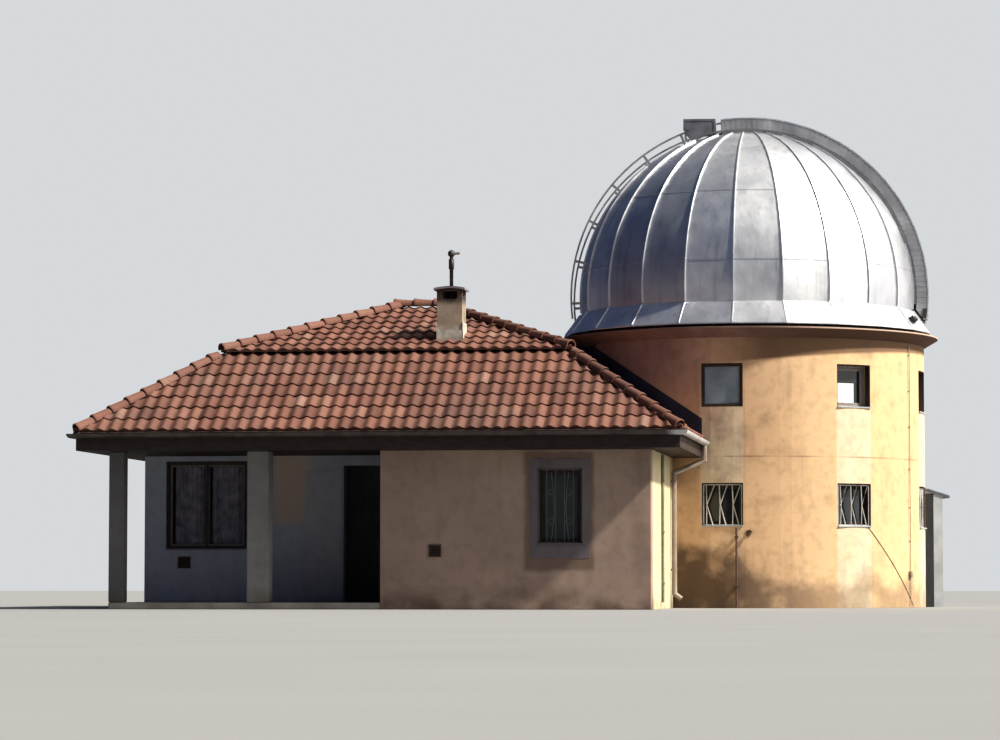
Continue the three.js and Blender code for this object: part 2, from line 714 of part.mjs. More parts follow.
// The open box behind the shutter: bars round a plate on each side, joined by cross bars
function buildTail() {
  const [rear, front] = TAIL_E;
  const top = TAIL_TOP_Z;
  const bar = TAIL_BAR;
  const heel = TAIL_HEEL_Z;
  const skinEnd = SHUTTER_DEG[1];
  const footAngle = TAIL_FOOT_DEG * RAD;
  const onArc = (e, radius) => [e, DOME_CENTRE_Z + Math.sqrt(radius * radius - e * e)];
  const foot = onArc(TAIL_LOW_R * Math.cos(footAngle), TAIL_LOW_R);
  const half = SHUTTER_HALF;
  const sideOutline = [
    onArc(front - bar / 2, TAIL_LOW_R + bar / 2),
    [front - bar / 2, top - bar / 2],
    [rear + bar / 2, top - bar / 2],
    [rear + bar / 2, TAIL_PLATE_HEEL_Z],
    onArc(TAIL_PLATE_E, TAIL_LOW_R + bar / 2),
  ];
  const brace = [
    [rear, heel],
    [rear + bar, heel + bar / 2],
    [foot[0] + bar, foot[1] + bar / 2],
    foot,
  ];
  const bars = [
    slitBox(rear, rear + bar, -half, half, top - bar, top),
    slitBox(front - bar, front, -half, half, top - bar, top),
  ];
  for (const side of [-1, 1]) {
    const inner = side * (half - TAIL_SIDE);
    const [p0, p1] = [Math.min(inner, side * half), Math.max(inner, side * half)];
    const middle = side * (half - TAIL_SIDE / 2);
    bars.push(arcBar(TAIL_LOW_R, TAIL_LOW_R + bar, p0, p1, skinEnd, TAIL_FOOT_DEG, 3));
    bars.push(slitBox(rear, front, p0, p1, top - bar, top));
    bars.push(slitBox(front - bar, front, p0, p1, onArc(front, TAIL_LOW_R + WELD)[1], top));
    bars.push(slitBox(rear, rear + bar, p0, p1, heel, top));
    bars.push(slitPlate(brace, p0, p1));
    bars.push(slitPlate(sideOutline, middle - TAIL_PLATE / 2, middle + TAIL_PLATE / 2));
  }
  const wide = half + OVERCUT;
  const skinSide = arcBar(TAIL_LOW_R - WELD, SHUTTER_FOOT_R, -wide, wide, 90, skinEnd + 0.01, 2);
  piece("shutter_tail", union(bars).subtract(skinSide), "darkSteel");
}

// House walls, floors and columns
function buildHouseWalls() {
  const back = PORCH_BACK_Y + WALL;
  const windowCut = ([x0, x1], y0, y1, [z0, z1]) =>
    box(x0, x1, y0 - OVERCUT, y1 + OVERCUT, z0, z1);
  const frontWall = box(BLOCK_X, RIGHT_X, FRONT_Y, FRONT_Y + WALL, 0, WALL_TOP).subtract(
    windowCut(FRONT_WINDOW_X, FRONT_Y, FRONT_Y + WALL, HOUSE_WINDOW_Z),
  );
  piece("front_wall", frontWall, "houseRender");
  const blockSide = box(BLOCK_X, BLOCK_X + WALL, FRONT_Y + WALL, back, 0, WALL_TOP);
  piece("block_side_wall", blockSide, "houseRender");
  const porchWall = box(LEFT_X, DOOR_X[0], PORCH_BACK_Y, back, 0, WALL_TOP).subtract(
    windowCut(PORCH_WINDOW_X, PORCH_BACK_Y, back, PORCH_WINDOW_Z),
  );
  piece("porch_wall", porchWall, "houseRender");
  const head = box(DOOR_X[0], DOOR_X[1], PORCH_BACK_Y, back, DOOR_HEAD, WALL_TOP);
  piece("door_head_wall", head, "houseRender");
  const leftWall = box(LEFT_X, LEFT_X + WALL, back, REAR_Y, 0, WALL_TOP).subtract(
    box(LEFT_X - OVERCUT, LEFT_X + WALL + OVERCUT, ...SIDE_WINDOW_Y, ...HOUSE_WINDOW_Z),
  );
  piece("left_wall", leftWall, "houseRender");
  const rearWall = box(LEFT_X + WALL, TOWER_END, REAR_Y - WALL, REAR_Y, 0, WALL_TOP)
    .subtract(windowCut(REAR_WINDOW_X, REAR_Y - WALL, REAR_Y, HOUSE_WINDOW_Z))
    .subtract(towerCore);
  piece("rear_wall", rearWall, "houseRender");
  const rightWall = box(RIGHT_X - WALL, RIGHT_X, FRONT_Y + WALL, TOWER_END, 0, WALL_TOP);
  piece("right_wall", rightWall.subtract(towerCore), "houseRender");
}

function buildHouseFloors() {
  const back = PORCH_BACK_Y + WALL;
  const main = box(LEFT_X + WALL, RIGHT_X - WALL, back, REAR_Y - WALL, 0, FLOOR_TOP);
  const block = box(BLOCK_X + WALL, RIGHT_X - WALL, FRONT_Y + WALL, back, 0, FLOOR_TOP);
  const sill = box(DOOR_X[0], DOOR_X[1], PORCH_BACK_Y, back, 0, FLOOR_TOP);
  const floor = main.add(block).add(sill).subtract(towerCore);
  piece("house_floor", largest(floor), "concrete");
  const porch = box(PORCH_LEFT_X, BLOCK_X, FRONT_Y, PORCH_BACK_Y, 0, FLOOR_TOP);
  piece("porch_floor", porch, "concrete");
}

function buildColumns() {
  const cornerEnd = PORCH_LEFT_X + COLUMN_CORNER;
  const cornerBack = FRONT_Y + COLUMN_CORNER;
  const corner = box(PORCH_LEFT_X, cornerEnd, FRONT_Y, cornerBack, FLOOR_TOP, WALL_TOP);
  piece("porch_column_corner", corner, "houseRender");
  const [x0, x1] = COLUMN_FRONT_X;
  const front = box(x0, x1, FRONT_Y, FRONT_Y + (x1 - x0), FLOOR_TOP, WALL_TOP);
  piece("porch_column_front", front, "houseRender");
}

// Windows of the house: a frame with its pane, set back in the wall
function windowSolid(width, height, casements) {
  const frame = box(0, width, 0, FRAME_DEPTH, 0, height);
  const clear = (width - FRAME_BAR * (casements + 1)) / casements;
  let made = frame;
  for (let i = 0; i < casements; i += 1) {
    const x = FRAME_BAR + i * (clear + FRAME_BAR);
    const light = box(x, x + clear, -OVERCUT, OVERCUT, FRAME_BAR, height - FRAME_BAR);
    made = made.subtract(light);
  }
  const mid = FRAME_DEPTH / 2;
  return made.add(box(0, width, mid - PANE / 2, mid + PANE / 2, 0, height));
}

function buildHouseWindows() {
  const setback = WINDOW_SETBACK;
  const place = (name, x, y, z, width, height, casements) => {
    piece(name, windowSolid(width, height, casements).translate([x, y, z]), "darkWood");
  };
  const height = HOUSE_WINDOW_Z[1] - HOUSE_WINDOW_Z[0];
  const width = FRONT_WINDOW_X[1] - FRONT_WINDOW_X[0];
  place("window_front", FRONT_WINDOW_X[0], FRONT_Y + setback, HOUSE_WINDOW_Z[0], width, height, 1);
  const rearY = REAR_Y - setback - FRAME_DEPTH;
  place("window_rear", REAR_WINDOW_X[0], rearY, HOUSE_WINDOW_Z[0], width, height, 1);
  const porchWidth = PORCH_WINDOW_X[1] - PORCH_WINDOW_X[0];
  const porchHeight = PORCH_WINDOW_Z[1] - PORCH_WINDOW_Z[0];
  const porchY = PORCH_BACK_Y + setback / 2;
  place("window_porch", PORCH_WINDOW_X[0], porchY, PORCH_WINDOW_Z[0], porchWidth, porchHeight, 2);
  const side = windowSolid(width, height, 1).rotate([0, 0, 90]);
  const sideX = LEFT_X + setback + FRAME_DEPTH;
  const sided = side.translate([sideX, SIDE_WINDOW_Y[0], HOUSE_WINDOW_Z[0]]);
  piece("window_left", sided, "darkWood");
}

function buildEntranceDoor() {
  const width = DOOR_X[1] - DOOR_X[0] - 2 * DOOR_GAP - LEAF_SLACK;
  const low = FLOOR_TOP + DOOR_GAP;
  const door = hingedDoor(width, DOOR_HEAD - DOOR_GAP - low);
  const seat = [DOOR_X[0] + DOOR_GAP, PORCH_BACK_Y + WALL + HINGE_OUT, low];
  piece("entrance_door", door.leaf.translate(seat), "darkWood");
  piece("entrance_door_hinges", door.hinges.translate(seat), "darkSteel");
}

// Roof
const corners = (rect) => [
  (d, z) => [rect.x0 - d, rect.y0 - d, z],
  (d, z) => [rect.x1 + d, rect.y0 - d, z],
  (d, z) => [rect.x1 + d, rect.y1 + d, z],
  (d, z) => [rect.x0 - d, rect.y1 + d, z],
];
const ringSweep = (profile) => sweep(profile, corners(EAVES), true);

function rectIn(d) {
  return { x0: EAVES.x0 + d, x1: EAVES.x1 - d, y0: EAVES.y0 + d, y1: EAVES.y1 - d };
}

// A hipped solid: a rectangle with upright edges, then even slopes up to a ridge along X
function hipSolid(rect, zBase, zEdge, slope) {
  const half = (rect.y1 - rect.y0) / 2;
  const ridge = zEdge + half * slope;
  const middle = (rect.y0 + rect.y1) / 2;
  const points = [];
  for (const z of [zBase, zEdge]) {
    for (const x of [rect.x0, rect.x1]) {
      for (const y of [rect.y0, rect.y1]) points.push(new THREE.Vector3(x, y, z));
    }
  }
  points.push(new THREE.Vector3(rect.x0 + half, middle, ridge));
  points.push(new THREE.Vector3(rect.x1 - half, middle, ridge));
  return solid(new ConvexGeometry(points));
}

function capBar(from, to) {
  const a = new THREE.Vector3(...from);
  const b = new THREE.Vector3(...to);
  const length = a.distanceTo(b);
  const geometry = new THREE.CylinderGeometry(CAP_R, CAP_R, length, CAP_SIDES);
  const direction = b.clone().sub(a).normalize();
  const turn = new THREE.Quaternion().setFromUnitVectors(new THREE.Vector3(0, 1, 0), direction);
  geometry.applyQuaternion(turn);
  geometry.translate((a.x + b.x) / 2, (a.y + b.y) / 2, (a.z + b.z) / 2);
  return solid(geometry);
}

const kink = rectIn(KINK_IN);
const lowerSlope = (KINK_Z - EAVE_Z) / (KINK_IN + EAVE_EDGE);
const upperHalf = (kink.y1 - kink.y0) / 2 + UPPER_EDGE;
const upperSlope = (RIDGE_Z - UPPER_EDGE_Z) / upperHalf;
const stackCut = box(STACK.x0, STACK.x1, STACK.y0, STACK.y1, 0, BEYOND);

function buildLowerRoof() {
  const shelf = KINK_IN + KINK_SHELF;
  const under = (d) => KINK_Z - ROOF_DEPTH - (KINK_IN - d) * lowerSlope;
  const profile = [
    [-ROOF_FOOT_IN, CEILING_TOP],
    [-FASCIA, CEILING_TOP],
    [-FASCIA, FASCIA_TOP],
    [0, FASCIA_TOP],
    [EAVE_EDGE, EAVE_Z - TILE_EDGE],
    [EAVE_EDGE, EAVE_Z],
    [-KINK_IN, KINK_Z],
    [-shelf, KINK_Z],
    [-shelf, KINK_Z - ROOF_DEPTH],
    [-KINK_IN, KINK_Z - ROOF_DEPTH],
    [-ROOF_FOOT_IN, under(ROOF_FOOT_IN)],
  ];
  const [headIn, headDown] = LOWER_CAP_HEAD;
  const caps = corners(EAVES).map((corner) =>
    capBar(corner(0, EAVE_Z + LOWER_CAP_FOOT), corner(headIn - KINK_IN, KINK_Z - headDown)),
  );
  return largest(union([ringSweep(profile), ...caps]).subtract(towerCore));
}

const largest = (shape) => shape.decompose().sort((a, b) => b.volume() - a.volume())[0];

function upperSolid(raise) {
  const rect = rectIn(KINK_IN - UPPER_EDGE);
  return hipSolid(rect, KINK_Z + raise, UPPER_EDGE_Z + raise, upperSlope);
}

function buildUpperRoof() {
  const hollow = hipSolid(
    rectIn(KINK_IN + KINK_SHELF),
    KINK_Z - OVERCUT,
    UPPER_EDGE_Z - ROOF_DEPTH + (UPPER_EDGE + KINK_SHELF) * upperSlope,
    upperSlope,
  );
  const middle = (kink.y0 + kink.y1) / 2;
  const run = (kink.y1 - kink.y0) / 2;
  const ridgeAt = (x) => [x, middle, RIDGE_Z];
  const ends = [ridgeAt(kink.x0 + run), ridgeAt(kink.x1 - run)];
  const cornerAt = (x, y) => [x, y, UPPER_EDGE_Z + UPPER_CAP_FOOT];
  const caps = [
    capBar(ridgeAt(ends[0][0] - CAP_OVERRUN), ridgeAt(ends[1][0] + CAP_OVERRUN)),
    capBar(cornerAt(kink.x0, kink.y0), ends[0]),
    capBar(cornerAt(kink.x0, kink.y1), ends[0]),
    capBar(cornerAt(kink.x1, kink.y0), ends[1]),
    capBar(cornerAt(kink.x1, kink.y1), ends[1]),
  ];
  const floor = box(EAVES.x0, EAVES.x1, EAVES.y0, EAVES.y1, KINK_Z - 2 * OVERCUT, KINK_Z);
  const capStop = discSolid(TOWER_R + CAP_STOP, 0, BEYOND, towerAngles);
  const roof = union([upperSolid(0), union(caps).subtract(capStop)])
    .subtract(hollow)
    .subtract(floor)
    .subtract(towerCore)
    .subtract(stackCut);
  return largest(roof);
}

function buildRoof() {
  const lower = buildLowerRoof();
  const upper = buildUpperRoof();
  piece("roof_lower", lower, "tile");
  piece("roof_upper", upper, "tile");
  buildFlashing([lower, upper]);
}

function buildCeilingAndFascia() {
  const inner = rectIn(FASCIA);
  const slab = box(inner.x0, inner.x1, inner.y0, inner.y1, WALL_TOP, CEILING_TOP);
  piece("ceiling", largest(slab.subtract(towerCore).subtract(stackCut)), "timber");
  const board = [
    [-FASCIA, WALL_TOP],
    [0, WALL_TOP],
    [0, FASCIA_TOP],
    [-FASCIA, FASCIA_TOP],
  ];
  piece("fascia", largest(ringSweep(board).subtract(towerCore)), "timber");
}

function buildFlashing(roofs) {
  const lower = hipSolid(rectIn(-EAVE_EDGE), WALL_TOP, EAVE_Z, lowerSlope);
  const round = rectIn(-OVERCUT);
  const cut = box(round.x0, round.x1, round.y0, round.y1, 0, KINK_Z);
  const roofTop = lower.intersect(cut).add(upperSolid(0));
  const back = TOWER_R + FIT_GAP;
  const face = back + FLASHING_SHEET;
  const high = TOWER_WALL_TOP - FLASHING_HEAD;
  const strip = [
    [back, WALL_TOP],
    [face, WALL_TOP],
    [face, high],
    [back, high],
  ];
  const band = revolve(strip, towerAngles, true);
  const wide = box(EAVES.x0, EAVES.x1, EAVES.y0, EAVES.y1, 0, BEYOND);
  const flashing = band
    .intersect(roofTop.translate([0, 0, FLASHING_UP]))
    .subtract(roofTop.translate([0, 0, FIT_GAP]))
    .intersect(wide)
    .subtract(box(EAVES.x0, EAVES.x1, EAVES.y0, EAVES.y1, 0, EAVE_Z + FLASHING_START));
  const cuts = roofs.flatMap((roof) => [roof, roof.translate([0, 0, FIT_GAP])]);
  const fitted = cuts.reduce((left, cutter) => left.subtract(cutter), flashing);
  piece("roof_flashing", largest(fitted), "bitumen");
}

// Rainwater goods
function buildGutters() {
  const steps = GUTTER_STEPS;
  const arc = (radius, flip) =>
    Array.from({ length: steps + 1 }, (_, i) => {
      const a = Math.PI + (Math.PI * (flip ? steps - i : i)) / steps;
      return [GUTTER_R + radius * Math.cos(a), GUTTER_Z + radius * Math.sin(a)];
    });
  const inner = GUTTER_R - GUTTER_SHEET;
  const lip = GUTTER_Z + GUTTER_LIP;
  const profile = [
    [0, lip],
    ...arc(GUTTER_R, false),
    [2 * GUTTER_R, lip],
    [2 * GUTTER_R - GUTTER_SHEET, lip],
    ...arc(inner, true),
    [GUTTER_SHEET, lip],
  ];
  piece("gutters", largest(ringSweep(profile).subtract(towerCore)), "galvanised");
}

function rod(from, to, radius, sides = 12) {
  const a = new THREE.Vector3(...from);
  const b = new THREE.Vector3(...to);
  const geometry = new THREE.CylinderGeometry(radius, radius, a.distanceTo(b), sides);
  const direction = b.clone().sub(a).normalize();
  const turn = new THREE.Quaternion().setFromUnitVectors(new THREE.Vector3(0, 1, 0), direction);
  geometry.applyQuaternion(turn);
  geometry.translate((a.x + b.x) / 2, (a.y + b.y) / 2, (a.z + b.z) / 2);
  return solid(geometry);
}

function ball(centre, radius) {
  const geometry = new THREE.SphereGeometry(radius, 12, 8);
  geometry.translate(...centre);
  return solid(geometry);
}

function buildDownpipe() {
  const gutterX = EAVES.x1 + GUTTER_R;
  const [outlet, neck, shoe, spout] = PIPE_BENDS_Z;
  const path = [
    [gutterX, PIPE_Y, GUTTER_Z - GUTTER_R - FIT_GAP],
    [gutterX, PIPE_Y, outlet],
    [PIPE_X, PIPE_Y, neck],
    [PIPE_X, PIPE_Y, shoe],
    [PIPE_X + PIPE_SHOE, PIPE_Y, spout],
  ];
  const parts = [];
  for (let i = 0; i + 1 < path.length; i += 1) parts.push(rod(path[i], path[i + 1], PIPE_R));
  for (let i = 1; i + 1 < path.length; i += 1) parts.push(ball(path[i], PIPE_R));
  const { arm, half, proud } = CLIP;
  for (const z of CLIPS_Z) {
    const [z0, z1] = [z - half, z + half];
    parts.push(box(RIGHT_X, PIPE_X, PIPE_Y - arm, PIPE_Y + arm, z0, z1));
    parts.push(rod([PIPE_X, PIPE_Y, z0], [PIPE_X, PIPE_Y, z1], PIPE_R + proud));
  }
  piece("downpipe", union(parts), "galvanised");
}

// Chimney
function buildChimney() {
  const { x0, x1, y0, y1 } = STACK;
  const cx = (x0 + x1) / 2;
  const cy = (y0 + y1) / 2;
  const above = STACK_TOP + OVERCUT;
  const flue = box(cx - FLUE, cx + FLUE, cy - FLUE, cy + FLUE, FLUE_FOOT_Z, above);
  const gap = SMOKE_HALF;
  const through = [
    box(cx - gap, cx + gap, y0 - OVERCUT, y1 + OVERCUT, ...SMOKE_Z),
    box(x0 - OVERCUT, x1 + OVERCUT, cy - gap, cy + gap, ...SMOKE_Z),
  ];
  let stack = box(x0, x1, y0, y1, FLOOR_TOP, STACK_TOP).subtract(flue);
  for (const cut of through) stack = stack.subtract(cut);
  piece("chimney_stack", stack, "houseRender");
  const cap = box(x0 - CAP_LIP, x1 + CAP_LIP, y0 - CAP_LIP, y1 + CAP_LIP, STACK_TOP, CAP_TOP);
  piece("chimney_cap", cap, "concrete");
  const pipe = rod([cx, cy, CAP_TOP], [cx, cy, FLUE_PIPE_TOP], FLUE_PIPE_R);
  const sleeve = rod([cx, cy, FLUE_SLEEVE_Z[0]], [cx, cy, FLUE_SLEEVE_Z[1]], FLUE_SLEEVE_R);
  const cowl = ball([cx, cy, FLUE_PIPE_TOP + COWL_RAISE], COWL_R);
  const armZ = FLUE_PIPE_TOP + COWL_ARM_RAISE;
  const arm = rod([cx, cy, armZ], [cx + COWL_ARM, cy, armZ], COWL_ARM_R);
  piece("flue_cowl", union([pipe, sleeve, cowl, arm]), "darkSteel");
}

buildTowerWalls();
buildTowerFloors();
buildTowerGlass();
buildRingBeam();
buildLeanTo();
buildSideDoor();
buildDomeShell();
buildDomeBase();
buildRails();
buildShutter();
buildTail();
buildHouseWalls();
buildHouseFloors();
buildColumns();
buildHouseWindows();
buildEntranceDoor();
buildRoof();
buildCeilingAndFascia();
buildGutters();
buildDownpipe();
buildChimney();

export default group;
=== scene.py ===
"""Looks of a small observatory: a rendered round tower with a turning sheet metal dome, and a
one-storey house with a hipped tile roof. Metres, in the frame of the CAD part: origin on the
ground on the tower's axis, +X to the right along the facade, +Y away from the viewer, +Z up.
Azimuths are degrees from -Y towards +X."""

import math
import random

import bmesh
import bpy
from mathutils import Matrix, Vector


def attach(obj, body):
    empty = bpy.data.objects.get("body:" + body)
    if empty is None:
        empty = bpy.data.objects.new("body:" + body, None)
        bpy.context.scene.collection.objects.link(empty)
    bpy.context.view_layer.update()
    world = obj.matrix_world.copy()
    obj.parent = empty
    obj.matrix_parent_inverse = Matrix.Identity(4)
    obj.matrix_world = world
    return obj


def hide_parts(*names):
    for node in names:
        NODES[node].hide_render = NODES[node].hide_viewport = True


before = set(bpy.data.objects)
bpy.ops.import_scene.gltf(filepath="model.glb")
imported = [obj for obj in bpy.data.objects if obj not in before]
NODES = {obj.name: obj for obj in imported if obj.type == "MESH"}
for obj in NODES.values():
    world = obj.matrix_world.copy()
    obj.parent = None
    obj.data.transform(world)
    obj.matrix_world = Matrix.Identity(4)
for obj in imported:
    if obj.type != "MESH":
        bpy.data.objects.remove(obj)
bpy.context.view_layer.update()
rng = random.Random(7)

# Tower
TOWER_R = 3.0
WINDOW_FIRST, WINDOW_STEP = -4.4, 43.6
WINDOWS_DEG = [WINDOW_FIRST + WINDOW_STEP * k for k in range(6)]
WINDOW_HALF = 0.34
LOWER_Z = (1.32, 2.03)
UPPER_Z = (3.27, 3.98)
STOREY_JOINT_Z = 2.46
SIDE_DOOR_DEG = 104.6

# Dome and shutter
DOME_R = 2.86
DOME_Z = 5.28
DOME_CENTRE = Vector((0, 0, DOME_Z))
GORES = 22
GORE_DEG = 360 / GORES
FIRST_SEAM = -0.9
FRONT_GORES_PAINTED_LIGHT = (0, 1, 21)
SEAM_FOOT, SEAM_SPAN = -5.0, 91.0
SHEET_JOINT_Z = 6.899
LAPS_DEG = (8.8, 34.7)
SKIRT_LINE = ((2.868, 5.000), (2.885, 4.985), (3.0, 4.826), (3.128, 4.656))
SLIT_DEG = 93.73
SLIT_HALF = 0.535
SHUTTER_HALF = 0.563
SHUTTER_TOP_Z = 8.3391
CRIMP_FOOT_DEG, CRIMP_SPAN = -3.0, 100.5
EDGE_FOOT_DEG, EDGE_SPAN = -7.6, 105.8
WINCH_DEG = 69.0

# House
FRONT_Y = -6.62
REAR_Y = 1.08
LEFT_X = -9.41
RIGHT_X = -1.05
PORCH_Y = -4.72
FLOOR = 0.1
EAVES = (-9.91, -0.56, -7.12, 1.58)
EAVE_EDGE = 0.04
EAVE_Z = 2.775
EAVE_THICK = 0.033
KINK_IN = 1.9
KINK_Z = 4.08
UPPER_EDGE = 0.04
UPPER_Z0 = 4.126
RIDGE_Z = 5.0
STACK = (-4.64, -4.23, -4.80, -4.39)
WINDOW_Z = (0.985, 2.150)
FRONT_WINDOW_X = (-2.788, -2.104)
REAR_WINDOW_X = (-6.342, -5.658)
LEFT_WINDOW_Y = (-2.142, -1.458)
PORCH_WINDOW_X, PORCH_WINDOW_Z = (-9.06, -7.73), (0.94, 2.36)
CURTAINS_X = {"left": (-8.94, -8.47), "right": (-8.33, -7.85)}
CURTAIN_Z = (1.03, 2.27)

# Fittings on the walls
ROD_DEG, FOOT_PIPE_DEG, LAMP_DEG = 66.45, 0.03, 3.7
LINE_DEG, LINE_Z = (42.85, 69.28), (1.404, 0.03)
CONDUIT_Y, CONDUIT_R = -4.878, 0.024

# Roof tiles
TILE_WIDTH = 0.2
LOWER_COURSES = 7
UPPER_COURSES = 8
TILE_WAVE = 0.036
TILE_LIFT = 0.03
TILE_BASE = -0.052
DECK_DEPTH, DECK_EDGE_DEPTH = 0.062, 0.042
CAP_LENGTH = 0.4
CAP_GAUGE = 0.335
CAP_R = 0.09

# Camera and light: the camera stands where the photo's stood and looks the same way
CAMERA_AT = (3.7435, -57.4043, 0.3468)
CAMERA_YAW, CAMERA_PITCH = -7.97, 3.7
FOCAL_PER_WIDTH = 3.35
SUN_AT, SKY_AT = (78, 45), (100, 24)


# Materials
def set_stops(ramp, stops):
    """Gives a colour ramp its stops, each a place and a colour or a grey."""
    slots = ramp.color_ramp.elements
    while len(slots) < len(stops):
        slots.new(0.5)
    for slot, (at, color) in zip(slots, stops):
        slot.position = at
        slot.color = (*color, 1) if isinstance(color, tuple) else (color, color, color, 1)


class Paint:
    """A node material on object coordinates, which are the part's own frame."""

    def __init__(self, name, roughness, metallic=0.0):
        self.material = bpy.data.materials.new(name)
        self.material.use_nodes = True
        self.tree = self.material.node_tree
        self.bsdf = self.tree.nodes["Principled BSDF"]
        self.bsdf.inputs["Roughness"].default_value = roughness
        self.bsdf.inputs["Metallic"].default_value = metallic
        self.place = self.node("ShaderNodeTexCoord").outputs["Object"]
        split = self.node("ShaderNodeSeparateXYZ")
        self.feed(split.inputs[0], self.place)
        self.x, self.y, self.z = split.outputs

    def node(self, kind, **settings):
        made = self.tree.nodes.new(kind)
        for key, value in settings.items():
            setattr(made, key, value)
        return made

    def feed(self, socket, value):
        if hasattr(value, "is_output"):
            self.tree.links.new(value, socket)
        else:
            socket.default_value = value

    def noise(self, scale, detail=4.0, stretch=(1, 1, 1)):
        mapping = self.node("ShaderNodeMapping")
        self.feed(mapping.inputs["Vector"], self.place)
        mapping.inputs["Scale"].default_value = stretch
        made = self.node("ShaderNodeTexNoise")
        self.feed(made.inputs["Vector"], mapping.outputs["Vector"])
        made.inputs["Scale"].default_value = scale
        made.inputs["Detail"].default_value = detail
        return made.outputs["Fac"]

    def ramp(self, factor, *stops):
        made = self.node("ShaderNodeValToRGB")
        self.feed(made.inputs["Fac"], factor)
        set_stops(made, stops)
        return made.outputs["Color"]

    def cloud(self, scale, detail, *stops, stretch=(1, 1, 1)):
        return self.ramp(self.noise(scale, detail, stretch), *stops)

    def tone(self):
        """The tone that each face has of its own."""
        return self.node("ShaderNodeAttribute", attribute_name="tone").outputs["Fac"]

    def mix(self, factor, a, b):
        made = self.node("ShaderNodeMix", data_type="RGBA")
        self.feed(made.inputs["Factor"], factor)
        for socket, value in ((made.inputs[6], a), (made.inputs[7], b)):
            self.feed(socket, (*value, 1) if isinstance(value, tuple) else value)
        return made.outputs[2]

    def math(self, operation, a, b=0.0):
        made = self.node("ShaderNodeMath", operation=operation)
        self.feed(made.inputs[0], a)
        self.feed(made.inputs[1], b)
        return made.outputs[0]

    def plus(self, a, b):
        return self.math("ADD", a, b)

    def minus(self, a, b):
        return self.math("SUBTRACT", a, b)

    def times(self, product, *factors):
        for factor in factors:
            product = self.math("MULTIPLY", product, factor)
        return product

    def off(self, value, middle):
        return self.math("ABSOLUTE", self.minus(value, middle))

    def band(self, value, low, high):
        """0 at low and 1 at high, smooth between them; low may be the larger."""
        made = self.node("ShaderNodeMapRange", interpolation_type="SMOOTHSTEP")
        self.feed(made.inputs["Value"], value)
        rises = float(low < high)
        ends = {"From Min": min(low, high), "From Max": max(low, high)}
        ends |= {"To Min": 1 - rises, "To Max": rises}
        for socket, end in ends.items():
            made.inputs[socket].default_value = end
        return made.outputs["Result"]

    def done(self, color, height=None, strength=0.5, distance=0.002, rough=None):
        self.feed(self.bsdf.inputs["Base Color"], color)
        if rough is not None:
            self.feed(self.bsdf.inputs["Roughness"], rough)
        if height is not None:
            made = self.node("ShaderNodeBump")
            made.inputs["Strength"].default_value = strength
            made.inputs["Distance"].default_value = distance
            self.feed(made.inputs["Height"], height)
            self.feed(self.bsdf.inputs["Normal"], made.outputs["Normal"])
        return self.material


def fresh_plaster(name, light, deep):
    paint = Paint(name, 0.94)
    tone = paint.cloud(0.55, 3, (0.36, light), (0.64, deep))
    return paint, paint.mix(paint.cloud(3.2, 6, (0.35, 0.0), (0.75, 0.4)), tone, deep)


def weathered(paint, tone, dirt):
    """Runs of dirt down a wall, and mottled patches."""
    runs = paint.times(paint.noise(0.9, 6, (5, 5, 0.8)), paint.noise(1.3, 3))
    tone = paint.mix(paint.ramp(runs, (0.28, 0.0), (0.46, 0.3)), tone, dirt)
    return paint.mix(paint.cloud(7.0, 8, (0.48, 0.0), (0.80, 0.3)), tone, dirt)


def rough_plaster(paint, tone):
    grain = paint.plus(paint.times(paint.noise(90.0, 3), 0.4), paint.noise(9.0, 4))
    return paint.done(tone, grain, 0.35, 0.006)


def plaster(name, light, deep, dirt, dirt_top, stained=None):
    """Weathered render. Dirt rises from the ground to dirt_top; stained is a halo's place, reach
    and blur, with its colour."""
    paint, tone = fresh_plaster(name, light, deep)
    tone = weathered(paint, tone, dirt)
    blotch = paint.cloud(2.1, 6, (0.38, 0.0), (0.62, 1.0))
    tone = paint.mix(paint.times(paint.band(paint.z, dirt_top, 0.0), blotch), tone, dirt)
    if stained is not None:
        tone = paint.mix(halo(paint, *stained[:3]), tone, stained[3])
    return rough_plaster(paint, tone)


def halo(paint, centre, reach, blur):
    """How strongly the wall is stained round an upright rectangle, given by its centre and reach
    in X and Z, with an edge that wanders."""
    away = [
        paint.minus(paint.off(axis, middle), half)
        for axis, middle, half in zip((paint.x, paint.z), centre, reach)
    ]
    edge = paint.plus(paint.math("MAXIMUM", *away), paint.times(paint.noise(3.5, 6), 0.16))
    return paint.times(paint.band(edge, 0.08 + blur, 0.08), 0.75)


